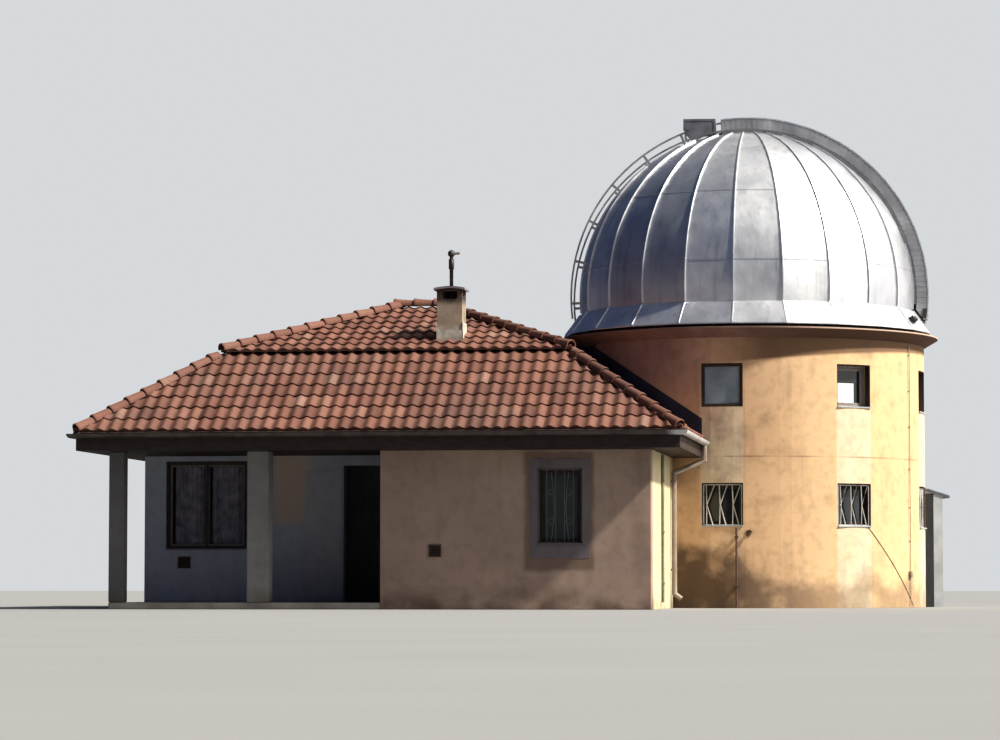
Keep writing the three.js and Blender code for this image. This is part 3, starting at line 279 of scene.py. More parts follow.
def tower_paint():
    """Render that pales towards the right, where the sun stands, partly as painted sunlight, and
    below the upper windows. It has painted shade at its upper left and a painted shadow under the
    cornice, and is dirty in a band along its foot."""
    dirt = (0.145, 0.095, 0.063)
    paint, tone = fresh_plaster("tower_render", (0.68, 0.46, 0.295), (0.58, 0.375, 0.23))
    # Yellower towards the right: partly painted sunlight on the lit side.
    tone = paint.mix(paint.band(paint.x, -0.6, 2.6), tone, (0.64, 0.44, 0.24))
    tone = paint.mix(window_bays(paint), tone, (0.66, 0.60, 0.47))
    # Painted shade at the upper left, where the cornice and dome shade the wall.
    upper_left_shade = paint.times(paint.band(paint.x, 0.1, -1.3), paint.band(paint.z, 3.0, 4.1), 0.62)
    tone = paint.mix(upper_left_shade, tone, (0.18, 0.12, 0.165))
    # Painted shadow of the cornice: a dark brown band along the top of the wall, on the right.
    eave = paint.band(paint.minus(paint.z, paint.times(paint.x, 0.085)), 3.975, 4.035)
    under = paint.times(eave, paint.band(paint.x, -0.6, 0.6), 0.85)
    tone = weathered(paint, paint.mix(under, tone, (0.12, 0.062, 0.036)), dirt)
    left_of = paint.math("MAXIMUM", paint.minus(0.75, paint.x), 0.0)
    low = paint.band(paint.minus(paint.z, paint.times(left_of, 0.42)), 0.76, 0.0)
    wander = paint.times(paint.minus(paint.noise(2.1, 6), 0.5), 2.4)
    fade = paint.minus(1.0, paint.times(paint.band(paint.x, -0.3, 2.0), 0.45))
    tone = paint.mix(paint.times(paint.band(paint.plus(low, wander), 0.05, 1.0), fade), tone, dirt)
    joint = paint.band(paint.off(paint.z, STOREY_JOINT_Z), 0.018, 0.004)
    broken = paint.cloud(1.7, 4, (0.4, 0.2), (0.6, 1.0))
    return rough_plaster(paint, paint.mix(paint.times(joint, 0.55, broken), tone, dirt))


def window_bays(paint):
    """How pale the tower's wall is in the upright strips below its upper windows. They reach the
    ground only where the sun stands, at the right."""
    turn = paint.math("ARCTAN2", paint.x, paint.times(paint.y, -1.0))
    behind = paint.math("LESS_THAN", turn, math.radians(-90))
    turn = paint.plus(turn, paint.times(behind, math.tau))
    first, step = math.radians(WINDOW_FIRST), math.radians(WINDOW_STEP)
    count = paint.math("DIVIDE", paint.minus(turn, first - step / 2), step)
    off = paint.off(paint.math("FRACT", count), 0.5)
    half = WINDOW_HALF / TOWER_R / step
    return paint.times(
        paint.band(off, half * 1.08, half * 0.98),
        paint.band(paint.z, 3.4, 3.2),
        paint.math("MAXIMUM", paint.band(paint.z, 1.2, 1.7), paint.band(paint.x, -0.9, 1.6)),
        paint.cloud(2.6, 5, (0.3, 0.36), (0.62, 0.60)),
    )


def tile_paint():
    paint = Paint("roof_tile", 0.82)
    base = paint.ramp(
        paint.tone(),
        (0.0, (0.110, 0.044, 0.030)),
        (0.45, (0.160, 0.068, 0.046)),
        (0.8, (0.205, 0.096, 0.066)),
        (1.0, (0.240, 0.140, 0.105)),
    )
    weather = paint.cloud(0.8, 5, (0.45, 0.0), (0.7, 0.45))
    base = paint.mix(weather, base, (0.10, 0.058, 0.046))
    fine = paint.cloud(28.0, 5, (0.45, 0.0), (0.75, 0.4))
    base = paint.mix(fine, base, (0.065, 0.034, 0.027))
    return paint.done(base, paint.noise(120.0, 3), 0.3, 0.002)


def timber(name, light, deep, stretch):
    paint = Paint(name, 0.7)
    grain = paint.noise(6.0, 6, stretch)
    rough = paint.cloud(3.0, 4, (0.3, 0.58), (0.7, 0.82))
    return paint.done(paint.ramp(grain, (0.3, deep), (0.7, light)), grain, 0.3, 0.003, rough)


def soffit_boards():
    paint = Paint("dark_timber", 0.68)
    stops = (0.3, (0.016, 0.007, 0.007)), (0.7, (0.034, 0.015, 0.013))
    tone = paint.cloud(4.0, 6, *stops, stretch=(1, 12, 1))
    off = paint.off(paint.math("FRACT", paint.times(paint.y, 8.0)), 0.5)
    gap = paint.band(off, 0.44, 0.49)
    tone = paint.mix(gap, tone, (0.004, 0.003, 0.003))
    return paint.done(tone, paint.minus(1.0, gap), 0.5, 0.004)


def metal(name, light, deep, low, high, scale=2.0, dents=0.004, metallic=0.9):
    paint = Paint(name, low, metallic)
    tone = paint.cloud(scale, 6, (0.3, deep), (0.7, light))
    runs = paint.cloud(1.3, 5, (0.5, 0.0), (0.75, 0.5), stretch=(6, 6, 0.6))
    rough = paint.cloud(scale * 1.7, 5, (0.3, low), (0.7, high))
    return paint.done(paint.mix(runs, tone, deep), paint.noise(3.5, 2), 0.5, dents, rough)


def gutter_paint():
    """Painted shade with some weathering makes it dark along the front, and a painted highlight
    keeps it bright zinc round the right-hand corner.
    """
    paint = Paint("gutter_weather_and_painted_light", 0.5, 0.45)
    # Painted shade, with some real weathering, along the front.
    front_weather_and_shade = paint.cloud(4.0, 6, (0.3, (0.050, 0.041, 0.037)), (0.7, (0.105, 0.090, 0.080)))
    zinc = paint.cloud(5.0, 6, (0.3, (0.44, 0.44, 0.43)), (0.7, (0.62, 0.62, 0.61)))
    # Painted highlight: towards the right-hand corner the gutter turns to bright sunlit zinc.
    bright = paint.plus(paint.x, paint.times(paint.noise(3.0), 0.12))
    tone = paint.mix(paint.band(bright, -0.72, -0.52), front_weather_and_shade, zinc)
    rough = paint.cloud(6.0, 5, (0.3, 0.42), (0.7, 0.62))
    return paint.done(tone, paint.noise(3.5, 2), 0.5, 0.003, rough)


def dome_paint():
    paint = Paint("dome_sheet", 0.36, 0.8)
    sheet = paint.ramp(paint.tone(), (0.0, (0.44, 0.45, 0.49)), (1.0, (0.84, 0.85, 0.87)))
    cloud = paint.cloud(2.4, 7, (0.42, 0.0), (0.72, 0.5))
    sheet = paint.mix(cloud, sheet, (0.40, 0.41, 0.44))
    runs = paint.cloud(1.1, 6, (0.52, 0.0), (0.75, 0.45), stretch=(9, 9, 0.7))
    sheet = paint.mix(runs, sheet, (0.34, 0.34, 0.36))
    rough = paint.cloud(1.6, 6, (0.3, 0.30), (0.7, 0.46))
    return paint.done(sheet, paint.noise(1.9, 3), 0.55, 0.02, rough)


def glass_paint(name, deep, light, alpha=1.0):
    paint = Paint(name, 0.06)
    paint.bsdf.inputs["Alpha"].default_value = alpha
    rough = paint.cloud(5.0, 4, (0.3, 0.03), (0.7, 0.12))
    tone = paint.cloud(2.0, 4, (0.3, deep), (0.7, light))
    return paint.done(tone, paint.noise(1.5), 0.1, 0.002, rough)


def plain(name, light, deep, roughness, scale=5.0, bump=0.002):
    paint = Paint(name, roughness)
    tone = paint.cloud(scale, 6, (0.32, deep), (0.68, light))
    rough = paint.cloud(scale * 2, 4, (0.3, roughness - 0.08), (0.7, roughness + 0.08))
    return paint.done(tone, paint.noise(scale * 8, 3), 0.4, bump, rough)


def cornice_paint():
    """Brown, darkened towards the right by a painted shadow of the skirt, where a painted highlight
    makes the tip pale.
    """
    paint = Paint("cornice_render", 0.94)
    tone = paint.cloud(3.2, 6, (0.36, (0.27, 0.17, 0.145)), (0.64, (0.20, 0.125, 0.105)))
    # Painted shadow of the skirt: darker towards the right.
    tone = paint.mix(paint.band(paint.x, -0.8, 1.6), tone, (0.095, 0.05, 0.033))
    # Painted highlight: a pale tip only on the right, where the sun falls.
    tip = paint.times(paint.band(paint.z, 4.532, 4.542), paint.band(paint.x, 0.2, 1.8))
    return paint.done(paint.mix(tip, tone, (0.46, 0.34, 0.27)), paint.noise(9.0, 4), 0.35, 0.006)


def chimney_paint():
    """Darker just under its cap, and pale with mortar at its foot."""
    paint = Paint("chimney_render", 0.95)
    tone = paint.cloud(4.0, 6, (0.35, (0.25, 0.195, 0.15)), (0.65, (0.35, 0.285, 0.22)))
    for low, high, broken, color in (
        (4.80, 4.93, paint.cloud(5.0, 4, (0.3, 0.7), (0.7, 1.0)), (0.045, 0.026, 0.024)),
        (4.55, 4.35, paint.cloud(9.0, 5, (0.4, 0.0), (0.55, 1.0)), (0.55, 0.52, 0.47)),
    ):
        tone = paint.mix(paint.times(paint.band(paint.z, low, high), broken), tone, color)
    return paint.done(tone, paint.noise(22.0, 5), 0.4, 0.006)


TOWER = tower_paint()
CORNICE = cornice_paint()
HOUSE = plaster(
    "house_render", (0.40, 0.295, 0.235), (0.31, 0.225, 0.185), (0.15, 0.10, 0.075), 0.45,
    ((-2.46, 1.50), (0.49, 0.86), 0.10, (0.15, 0.10, 0.075)),
)
SIDE = plaster("side_render", (0.60, 0.53, 0.34), (0.50, 0.43, 0.27), (0.22, 0.17, 0.11), 0.4)
PORCH = plaster(
    "porch_render", (0.37, 0.39, 0.45), (0.29, 0.31, 0.37), (0.20, 0.165, 0.14), 0.2,
    ((-7.0, 1.93), (0.18, 0.45), 0.20, (0.48, 0.355, 0.28)),
)
PORCH_PANEL = plaster(
    "porch_panel_render", (0.39, 0.39, 0.43), (0.31, 0.31, 0.35), (0.20, 0.17, 0.14), 0.2
)
COLUMN = plaster(
    "column_render", (0.25, 0.245, 0.24), (0.19, 0.185, 0.18), (0.12, 0.10, 0.08), 0.4
)
CORNER = plaster(
    "corner_render", (0.15, 0.145, 0.145), (0.11, 0.107, 0.11), (0.08, 0.07, 0.06), 0.4
)
PATCH = plaster(
    "cement_patch", (0.175, 0.152, 0.16), (0.127, 0.11, 0.116), (0.08, 0.065, 0.06), 0.9
)
TILE = tile_paint()
DECK = plain("roof_deck", (0.055, 0.028, 0.020), (0.030, 0.016, 0.012), 0.93, 6.0, 0.008)
TIMBER = soffit_boards()
PIPE = plain("pipe_paint", (0.31, 0.255, 0.21), (0.22, 0.18, 0.15), 0.55, 6.0)
FASCIA = timber("fascia_board", (0.042, 0.024, 0.020), (0.018, 0.010, 0.009), (1, 1, 9))
FRAME = timber("window_wood", (0.050, 0.036, 0.030), (0.022, 0.016, 0.014), (8, 8, 1))
PALE_FRAME = timber("pale_window_wood", (0.36, 0.31, 0.28), (0.22, 0.18, 0.16), (8, 8, 1))
DOOR = timber("door_wood", (0.030, 0.029, 0.036), (0.013, 0.013, 0.017), (9, 9, 1))
SASH = timber("porch_sash_wood", (0.165, 0.14, 0.14), (0.10, 0.085, 0.085), (8, 8, 1))
ZINC = metal("galvanised", (0.60, 0.61, 0.61), (0.40, 0.41, 0.41), 0.35, 0.55, 5.0)
GUTTER = gutter_paint()
DOME = dome_paint()
SHUTTER = metal("shutter_sheet", (0.53, 0.535, 0.56), (0.31, 0.31, 0.32), 0.42, 0.6, 2.0, 0.01, 0.8)
# Darker than the shutter's sheet: painted shade on the rear hood, which faces away from the sun.
SHADED_TAIL = metal("tail_sheet", (0.24, 0.24, 0.27), (0.13, 0.13, 0.15), 0.45, 0.7, 5.0, 0.003, 0.5)
LEAN_ROOF = metal(
    "lean_to_sheet", (0.17, 0.185, 0.22), (0.10, 0.11, 0.135), 0.4, 0.6, 5.0, metallic=0.6
)
SEAM = metal("seam_sheet", (0.90, 0.90, 0.91), (0.74, 0.75, 0.77), 0.34, 0.5, 6.0)
STEEL = metal("dark_steel", (0.085, 0.082, 0.08), (0.04, 0.035, 0.032), 0.45, 0.7, 5.0, 0.003, 0.5)
GLASS = glass_paint("glass", (0.012, 0.015, 0.017), (0.03, 0.036, 0.04))
DULL_GLASS = glass_paint("dull_glass", (0.055, 0.066, 0.062), (0.085, 0.098, 0.09))
CLEAR_GLASS = glass_paint("clear_glass", (0.012, 0.015, 0.017), (0.03, 0.036, 0.04), 0.18)
CONCRETE = plain("concrete", (0.36, 0.335, 0.30), (0.22, 0.20, 0.175), 0.93, 2.5, 0.006)
# Tarred flashing, whose navy blue-black is partly painted shade on the tower's wall beside the hip.
BITUMEN_AND_SHADE = plain("bitumen", (0.032, 0.038, 0.075), (0.013, 0.016, 0.034), 0.72, 3.0, 0.006)
SHEET = plain("pale_sheet", (0.42, 0.45, 0.475), (0.30, 0.325, 0.345), 0.6, 3.0)
GREY_BOARD = plain("grey_board", (0.28, 0.35, 0.40), (0.18, 0.235, 0.275), 0.7, 3.0)
WHITE_BOARD = plain("white_board", (0.80, 0.79, 0.75), (0.62, 0.60, 0.56), 0.75, 4.0)
GRILLE = plain("grille_paint", (0.52, 0.50, 0.47), (0.33, 0.30, 0.27), 0.55, 9.0)
DULL_GRILLE = plain("dull_grille_paint", (0.15, 0.15, 0.14), (0.09, 0.09, 0.08), 0.6, 9.0)
CLOTH = plain("net_cloth", (0.50, 0.47, 0.54), (0.26, 0.24, 0.30), 0.95, 7.0, 0.001)
MOSSY = plain("mossy_conduit", (0.24, 0.24, 0.16), (0.15, 0.15, 0.10), 0.8, 7.0)
# Near-black painted shade, for the hollows behind vents and inside the chimney's flue.
HOLE_SHADE = plain("painted_hole_shade", (0.012, 0.011, 0.010), (0.005, 0.005, 0.005), 0.9, 6.0)
PALE_MORTAR = plain("pale_mortar", (0.56, 0.53, 0.47), (0.34, 0.31, 0.26), 0.93, 9.0, 0.008)
ROD = plain("rod_paint", (0.34, 0.30, 0.24), (0.20, 0.17, 0.14), 0.6, 9.0)
RUST = plain("rusty_pipe", (0.12, 0.065, 0.045), (0.06, 0.035, 0.028), 0.8, 14.0)
CHIMNEY = chimney_paint()
CAP = plain("cap_concrete", (0.24, 0.21, 0.23), (0.16, 0.14, 0.155), 0.9, 5.0, 0.004)


# Mesh building
BOX_FACES = ((0, 1, 3, 2), (4, 6, 7, 5), (0, 4, 5, 1), (2, 3, 7, 6), (0, 2, 6, 4), (1, 5, 7, 3))


def grid_faces(rows, columns):
    """Faces between rows + 1 lines of columns + 1 points."""
    line = columns + 1
    return [
        (r * line + i, r * line + i + 1, (r + 1) * line + i + 1, (r + 1) * line + i)
        for r in range(rows)
        for i in range(columns)
    ]


def bar_faces(rings, sides):
    """Faces of a bar whose points lie in rings, closed at both ends."""
    faces = []
    for start in range(0, (rings - 1) * sides, sides):
        for j in range(sides):
            k = (j + 1) % sides
            faces.append((start + j, start + k, start + sides + k, start + sides + j))
    last = (rings - 1) * sides
    return [*faces, tuple(reversed(range(sides))), tuple(range(last, last + sides))]


def set_tones(mesh, tones):
    mesh.attributes.new("tone", "FLOAT", "FACE").data.foreach_set("value", tones)


class Shape:
    """Points and faces gathered into one piece, with a tone for each face that a paint may read."""

    def __init__(self):
        self.points = []
        self.faces = []
        self.tones = []

    def add(self, points, faces, tone=0.5):
        start = len(self.points)
        self.points.extend(Vector(p) for p in points)
        self.faces.extend([start + i for i in face] for face in faces)
        self.tones.extend([tone] * len(faces))

    def slab(self, place, u, v, z):
        self.add([place(a, b, c) for a in u for b in v for c in z], BOX_FACES)

    def box(self, x, y, z):
        self.slab(lambda *at: at, x, y, z)

    def border(self, place, u, v, z, wide, lapped=False):
        """Four bars inside the edge of an upright rectangle, lapped or butted at its corners."""
        (u0, u1), (z0, z1) = u, z
        inset = 0.0 if lapped else wide
        for side in ((u0, u0 + wide), (u1 - wide, u1)):
            self.slab(place, side, v, z)
        for level in ((z0, z0 + wide), (z1 - wide, z1)):
            self.slab(place, (u0 + inset, u1 - inset), v, level)

    def tube(self, path, radius, sides=10):
        """A round bar along a path, closed at both ends."""
        path = [Vector(p) for p in path]
        rings = []
        for i, point in enumerate(path):
            ahead = path[min(i + 1, len(path) - 1)] - path[max(i - 1, 0)]
            ahead.normalize()
            side = ahead.cross(Vector((0.13, 0.21, 0.97))).normalized()
            up = side.cross(ahead)
            for j in range(sides):
                a = math.tau * j / sides
                rings.append(point + (side * math.cos(a) + up * math.sin(a)) * radius)
        self.add(rings, bar_faces(len(path), sides))

    def piece(
        self, name, material, slot=None, body="building", smooth=30, stands_for=(), solid=True
    ):
        mesh = bpy.data.meshes.new(name)
        mesh.from_pydata(self.points, [], self.faces)
        if solid:
            work = bmesh.new()
            work.from_mesh(mesh)
            bmesh.ops.recalc_face_normals(work, faces=work.faces)
            work.to_mesh(mesh)
            work.free()
        set_tones(mesh, self.tones)
        return settle(name, mesh, material, body, smooth, stands_for)


def settle(name, mesh, material, body, smooth, stands_for):
    mesh.materials.clear()
    mesh.materials.append(material)
    mesh.shade_smooth()
    mesh.set_sharp_from_angle(angle=math.radians(smooth))
    made = bpy.data.objects.new(name, mesh)
    bpy.context.scene.collection.objects.link(made)
    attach(made, body)
    if stands_for:
        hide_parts(*stands_for)
    return made


def welded(node):
    """A copy of a CAD node's mesh with its corners joined and its flat faces whole."""
    mesh = NODES[node].data.copy()
    work = bmesh.new()
    work.from_mesh(mesh)
    bmesh.ops.remove_doubles(work, verts=work.verts, dist=2e-5)
    flat = math.radians(0.2)
    bmesh.ops.dissolve_limit(work, angle_limit=flat, verts=work.verts, edges=work.edges)
    return mesh, work


def dressed(node, material, body="building", smooth=12, bevel=0.0):
    """Stands for a CAD node with its own shape, smoothly shaded and with its edges broken."""
    mesh, work = welded(node)
    if bevel:
        sharp = [e for e in work.edges if len(e.link_faces) == 2 and e.calc_face_angle(0) > 0.6]
        bmesh.ops.bevel(
            work, geom=sharp, offset=bevel, segments=2, affect="EDGES", clamp_overlap=True
        )
    work.to_mesh(mesh)
    work.free()
    settle(node + "_skin", mesh, material, body, smooth, (node,))


def direction(azimuth, elevation):
    a, e = math.radians(azimuth), math.radians(elevation)
    return Vector((math.sin(a) * math.cos(e), -math.cos(a) * math.cos(e), math.sin(e)))


def around(deg):
    """Places on the tower: u along the wall, v outwards from the axis, z up."""
    along, out = direction(deg + 90, 0), direction(deg, 0)
    return lambda u, v, z: along * u + out * v + Vector((0, 0, z))


def on_front(u, v, z):
    return Vector((u, FRONT_Y - v, z))


def on_porch(u, v, z):
    return Vector((u, PORCH_Y - v, z))


def on_left(u, v, z):
    return Vector((LEFT_X - v, u, z))


def on_rear(u, v, z):
    return Vector((u, REAR_Y + v, z))


def on_right(u, v, z):
    return Vector((RIGHT_X + v, u, z))


# Roof tiles: each slope has its own corner, direction along the eave and direction inwards
def slopes(edge, z):
    x0, x1, y0, y1 = EAVES
    x0, x1, y0, y1 = x0 - edge, x1 + edge, y0 - edge, y1 + edge
    ex, ey = Vector((1, 0, 0)), Vector((0, 1, 0))
    return [
        (Vector((x0, y0, z)), ex, ey, x1 - x0),
        (Vector((x1, y0, z)), ey, -ex, y1 - y0),
        (Vector((x1, y1, z)), -ex, -ey, x1 - x0),
        (Vector((x0, y1, z)), -ey, ex, y1 - y0),
    ]


def inside_tower(point, radius=2.95):
    return math.hypot(point.x, point.y) < radius


def inset_of(point, outline=EAVES):
    """How far inside an upright box a point lies."""
    x0, x1, y0, y1 = outline
    return min(point.x - x0, x1 - point.x, point.y - y0, y1 - point.y)


def chance_tone(mean, spread):
    return min(1.0, max(0.0, rng.gauss(mean, spread)))


def lay_tiles(shape, slope, run, rise, courses):
    corner, along, inward, length = slope
    steep = rise / run
    norm = math.sqrt(1 + steep * steep)
    up = (inward + Vector((0, 0, steep))) / norm
    out = (Vector((0, 0, 1)) - inward * steep) / norm
    gauge = run * norm / courses
    columns = math.ceil(length / TILE_WIDTH)
    start = (length - columns * TILE_WIDTH) / 2
    steps = 8
    for course in range(courses):
        s0, s1 = course * gauge, (course + 1) * gauge
        for column in range(columns):
            a0 = start + column * TILE_WIDTH
            inset = s0 / norm
            if a0 + TILE_WIDTH <= inset + 0.01 or a0 >= length - inset - 0.01:
                continue
            middle = corner + along * (a0 + TILE_WIDTH / 2) + up * (s0 + s1) / 2
            if inside_tower(middle, 2.88) or inset_of(middle, STACK) > 0.05:
                continue
            slip = rng.uniform(-0.006, 0.006)
            lift = TILE_LIFT + rng.uniform(-0.003, 0.004)
            rows = (
                (s0 + slip + 0.004, -0.012, 0.0),
                (s0 + slip, lift - 0.006, 1.0),
                (s0 + slip + 0.012, lift, 1.0),
                (s1 + 0.004, 0.001, 1.0),
            )
            points = []
            for s, height, wavy in rows:
                bound = max(s, 0) / norm
                for i in range(steps + 1):
                    t = i / steps
                    wave = TILE_WAVE * (0.5 - 0.5 * math.cos(math.tau * t)) ** 1.2
                    a = min(max(a0 + t * TILE_WIDTH, bound), length - bound)
                    rise_here = TILE_BASE + height + wave * (0.45 + 0.55 * wavy)
                    points.append(corner + along * a + up * s + out * rise_here)
            shape.add(points, grid_faces(len(rows) - 1, steps), chance_tone(0.5, 0.22))


def lay_caps(shape, low, high, first=0.0):
    """Half-round cap tiles from low to high, each riding on the one below it."""
    low, high = Vector(low), Vector(high)
    ahead = (high - low).normalized()
    side = ahead.cross(Vector((0, 0, 1))).normalized()
    up = side.cross(ahead)
    total = (high - low).length
    sides = 12
    for i in range(max(1, math.ceil((total - first) / CAP_GAUGE))):
        s = first + i * CAP_GAUGE
        tilt = rng.uniform(-0.004, 0.004)
        rows = (
            (s + 0.004, -0.014, 0.0),
            (s, 0.002, 0.0),
            (s + 0.012, 0.007, 0.0),
            (s + 0.045, 0.005, -0.001),
            (s + 0.055, 0.0, -0.002),
            (min(s + CAP_LENGTH, total + 0.03), -0.014, -0.016),
        )
        points = []
        for at, swell, drop in rows:
            centre, radius = low + ahead * at + up * drop, CAP_R + swell
            for j in range(sides + 1):
                a = math.radians(-12 + 204 * j / sides)
                offset = side * (math.cos(a) + tilt) * radius + up * math.sin(a) * radius
                points.append(centre + offset)
        shape.add(points, grid_faces(len(rows) - 1, sides), chance_tone(0.6, 0.18))


LOWER_STEEP = (KINK_Z - EAVE_Z) / (KINK_IN + EAVE_EDGE)
UPPER_RUN = (EAVES[3] - EAVES[2]) / 2 - KINK_IN + UPPER_EDGE
UPPER_STEEP = (RIDGE_Z - UPPER_Z0) / UPPER_RUN


# The CAD roof's sloping top is lowered, to lie under the tiles
def lower_drop(point):
    top = EAVE_Z + (inset_of(point) + EAVE_EDGE) * LOWER_STEEP
    if abs(point.z - top + EAVE_THICK) < 0.004 and inset_of(point) < 0.0:
        return EAVE_THICK
    if point.z < top - 0.004 or inset_of(point) > KINK_IN + 0.01:
        return 0.0
    return point.z - top + DECK_DEPTH


def upper_drop(point):
    top = UPPER_Z0 + (inset_of(point) - KINK_IN + UPPER_EDGE) * UPPER_STEEP
    if point.z < top - 0.004:
        return 0.0
    inwards = min(1.0, max(0.0, (inset_of(point) - KINK_IN) / 0.3))
    return point.z - top + DECK_EDGE_DEPTH + (DECK_DEPTH - DECK_EDGE_DEPTH) * inwards


def build_roof():
    lower_run = KINK_IN + EAVE_EDGE
    for name, edge, z, run, rise, courses in (
        ("lower", EAVE_EDGE, EAVE_Z, lower_run, KINK_Z - EAVE_Z, LOWER_COURSES),
        ("upper", UPPER_EDGE - KINK_IN, UPPER_Z0, UPPER_RUN, RIDGE_Z - UPPER_Z0, UPPER_COURSES),
    ):
        tiles = Shape()
        for slope in slopes(edge, z):
            lay_tiles(tiles, slope, run, rise, courses)
        tiles.piece(name + "_roof_tiles", TILE, "roof_tile", smooth=50, solid=False)

    x0, x1, y0, y1 = EAVES
    caps = {"lower": Shape(), "upper": Shape()}
    middle, half = (y0 + y1) / 2, (y1 - y0) / 2
    for x, inwards, y, back in ((x0, 1, y0, 1), (x1, -1, y0, 1), (x0, 1, y1, -1), (x1, -1, y1, -1)):
        if not inside_tower(Vector((x, y, 0))):
            reach = KINK_IN - 0.09
            top = (x + inwards * reach, y + back * reach, KINK_Z - 0.065)
            lay_caps(caps["lower"], (x, y, EAVE_Z - 0.005), top)
        foot = Vector((x + inwards * KINK_IN, y + back * KINK_IN, UPPER_Z0 + 0.012))
        peak = Vector((x + inwards * half, middle, RIDGE_Z + 0.008))
        if inside_tower(foot, 3.2):
            lay_caps(caps["upper"], clear_of_tower(foot, peak), peak)
        else:
            lay_caps(caps["upper"], foot, peak, -0.05)
    ends = (x0 + half - 0.12, x1 - half + 0.12)
    lay_caps(caps["upper"], *[(x, middle, RIDGE_Z + 0.02) for x in ends])
    for name, shape in caps.items():
        shape.piece(name + "_hip_caps", TILE, "roof_tile", smooth=50, solid=False)
    for node, drop_at in (("roof_lower", lower_drop), ("roof_upper", upper_drop)):
        mesh, work = welded(node)
        for vert in work.verts:
            vert.co.z -= drop_at(vert.co)
        work.to_mesh(mesh)
        work.free()
        settle(node + "_deck", mesh, DECK, "building", 30, (node,))


def clear_of_tower(low, high):
    """The first point of a line that is clear of the tower's wall."""
    steps = 200
    for i in range(steps):
        point = low.lerp(high, i / steps)
        if math.hypot(point.x, point.y) > TOWER_R + 0.06:
            return point
    return low


# Windows
FRAME_BAR, FRAME_DEPTH = 0.055, 0.06
SASH_BAR, SASH_GAP = 0.034, 0.004


def window(
    name, place, u, z, setback, in_cad=True, casements=1, wood=FRAME, sash=None, glass=GLASS
):
    """A frame, its sashes, a pane and a sill, set back in a wall's opening. The tower's windows
    have no CAD node of their own to stand for."""
    back, face = -setback - FRAME_DEPTH, -setback
    shape, sashes, pane, sill = Shape(), Shape(), Shape(), Shape()
    shape.border(place, u, (back, face), z, FRAME_BAR)
    inner = (u[0] + FRAME_BAR, u[1] - FRAME_BAR)
    tall = (z[0] + FRAME_BAR, z[1] - FRAME_BAR)
    width = (inner[1] - inner[0]) / casements
    for i in range(casements):
        left = inner[0] + i * width
        if i:
            shape.slab(place, (left - 0.02, left + 0.02), (back, face + 0.012), tall)
        leaf = (left + SASH_GAP, left + width - SASH_GAP)
        high = (tall[0] + SASH_GAP, tall[1] - SASH_GAP)
        sashes.border(place, leaf, (back + 0.01, face - 0.012), high, SASH_BAR)
    stands_for = (name,) if in_cad else ()
    shape.piece(name + "_frame", wood, "window_wood", stands_for=stands_for)
    sashes.piece(name + "_sashes", sash or wood, "window_wood")
    middle = (back + face) / 2
    pane.slab(place, inner, (middle - 0.003, middle + 0.003), tall)
    pane.piece(name + "_pane", glass, "glass")
    ends, level = (u[0] + 0.002, u[1] - 0.002), (z[0] + 0.001, z[0] + 0.022)
    sill.slab(place, ends, (face + 0.001, 0.03), level)
    sill.piece(name + "_sill", PATCH if in_cad else SHEET)


def round_bar(shape, place, points, v, radius):
    shape.tube([place(a, v, c) for a, c in points], radius, 6)


def zigzag_grille(name, place, z, seed, v):
    """Welded flat bars in a frame, the inner ones leaning in pairs."""
    chance = random.Random(seed)
    shape = Shape()
    half = WINDOW_HALF - 0.02
    z0, z1 = z[0] + 0.02, z[1] - 0.02
    shape.border(place, (-half, half), (v - 0.006, v + 0.006), (z0, z1), 0.018, lapped=True)
    count = 6
    step = 2 * half / count
    for i in range(count):
        foot = -half + (i + 0.5) * step
        lean = step * (0.9 if i % 2 else -0.1) + chance.uniform(-0.008, 0.008)
        points = [(foot, z0), (foot - lean, (z0 + z1) / 2), (foot + lean * 0.3, z1)]
        points = [(max(-half, min(half, a)), c) for a, c in points]
        round_bar(shape, place, points, v, 0.0105)
    shape.piece(name, GRILLE)


def build_tower_windows():
    names = ["front", "front_right", "right", "rear_right", "rear", "rear_left"]
    outer = math.sqrt(TOWER_R**2 - WINDOW_HALF**2)
    edge, inner = WINDOW_HALF - 0.0005, WINDOW_HALF - 0.014
    inset = WINDOW_HALF - 0.002
    span, tall = (-inset, inset), (UPPER_Z[0] + 0.002, UPPER_Z[1] - 0.002)
    for i, (name, deg) in enumerate(zip(names, WINDOWS_DEG)):
        place = around(deg)

        def level(u, v, z, place=place):
            return place(u, outer + v, z)

        sides = (-WINDOW_HALF, WINDOW_HALF)
        window("lower_window_" + name, level, sides, LOWER_Z, 0.12, False)
        # Dark linings on the reveals and heads are painted shade of the deep openings.
        reveal_shade = Shape()
        for low, high in (LOWER_Z, UPPER_Z):
            for u in ((-edge, -inner), (inner, edge)):
                reveal_shade.slab(level, u, (-0.119, -0.004), (low, high))
            reveal_shade.slab(level, (-inner, inner), (-0.119, -0.004), (high - 0.0135, high - 0.0005))
        reveal_shade.piece("window_reveal_shade_" + name, FRAME)
        zigzag_grille("lower_grille_" + name, level, LOWER_Z, i, -0.03)
        if i == 0:
            board, trim = Shape(), Shape()
            board.slab(level, span, (-0.075, -0.045), tall)
            board.piece("upper_window_board_" + name, GREY_BOARD)
            trim.border(level, span, (-0.07, -0.012), tall, 0.05)
            trim.piece("upper_window_trim_" + name, FRAME)
        else:
            window("upper_window_" + name, level, sides, UPPER_Z, 0.15, False, wood=PALE_FRAME)
            # The white board covers only the pane's lower left: painted sunlight, its edges
            # standing for the reveal's shadow.
            sunlit_card = Shape()
            right, top = (0.12, 3.68) if i == 1 else (0.28, 3.5)
            sunlit_card.slab(level, (-0.28, right), (-0.168, -0.162), (3.33, top))
            sunlit_card.piece("upper_window_sunlit_card_" + name, WHITE_BOARD)


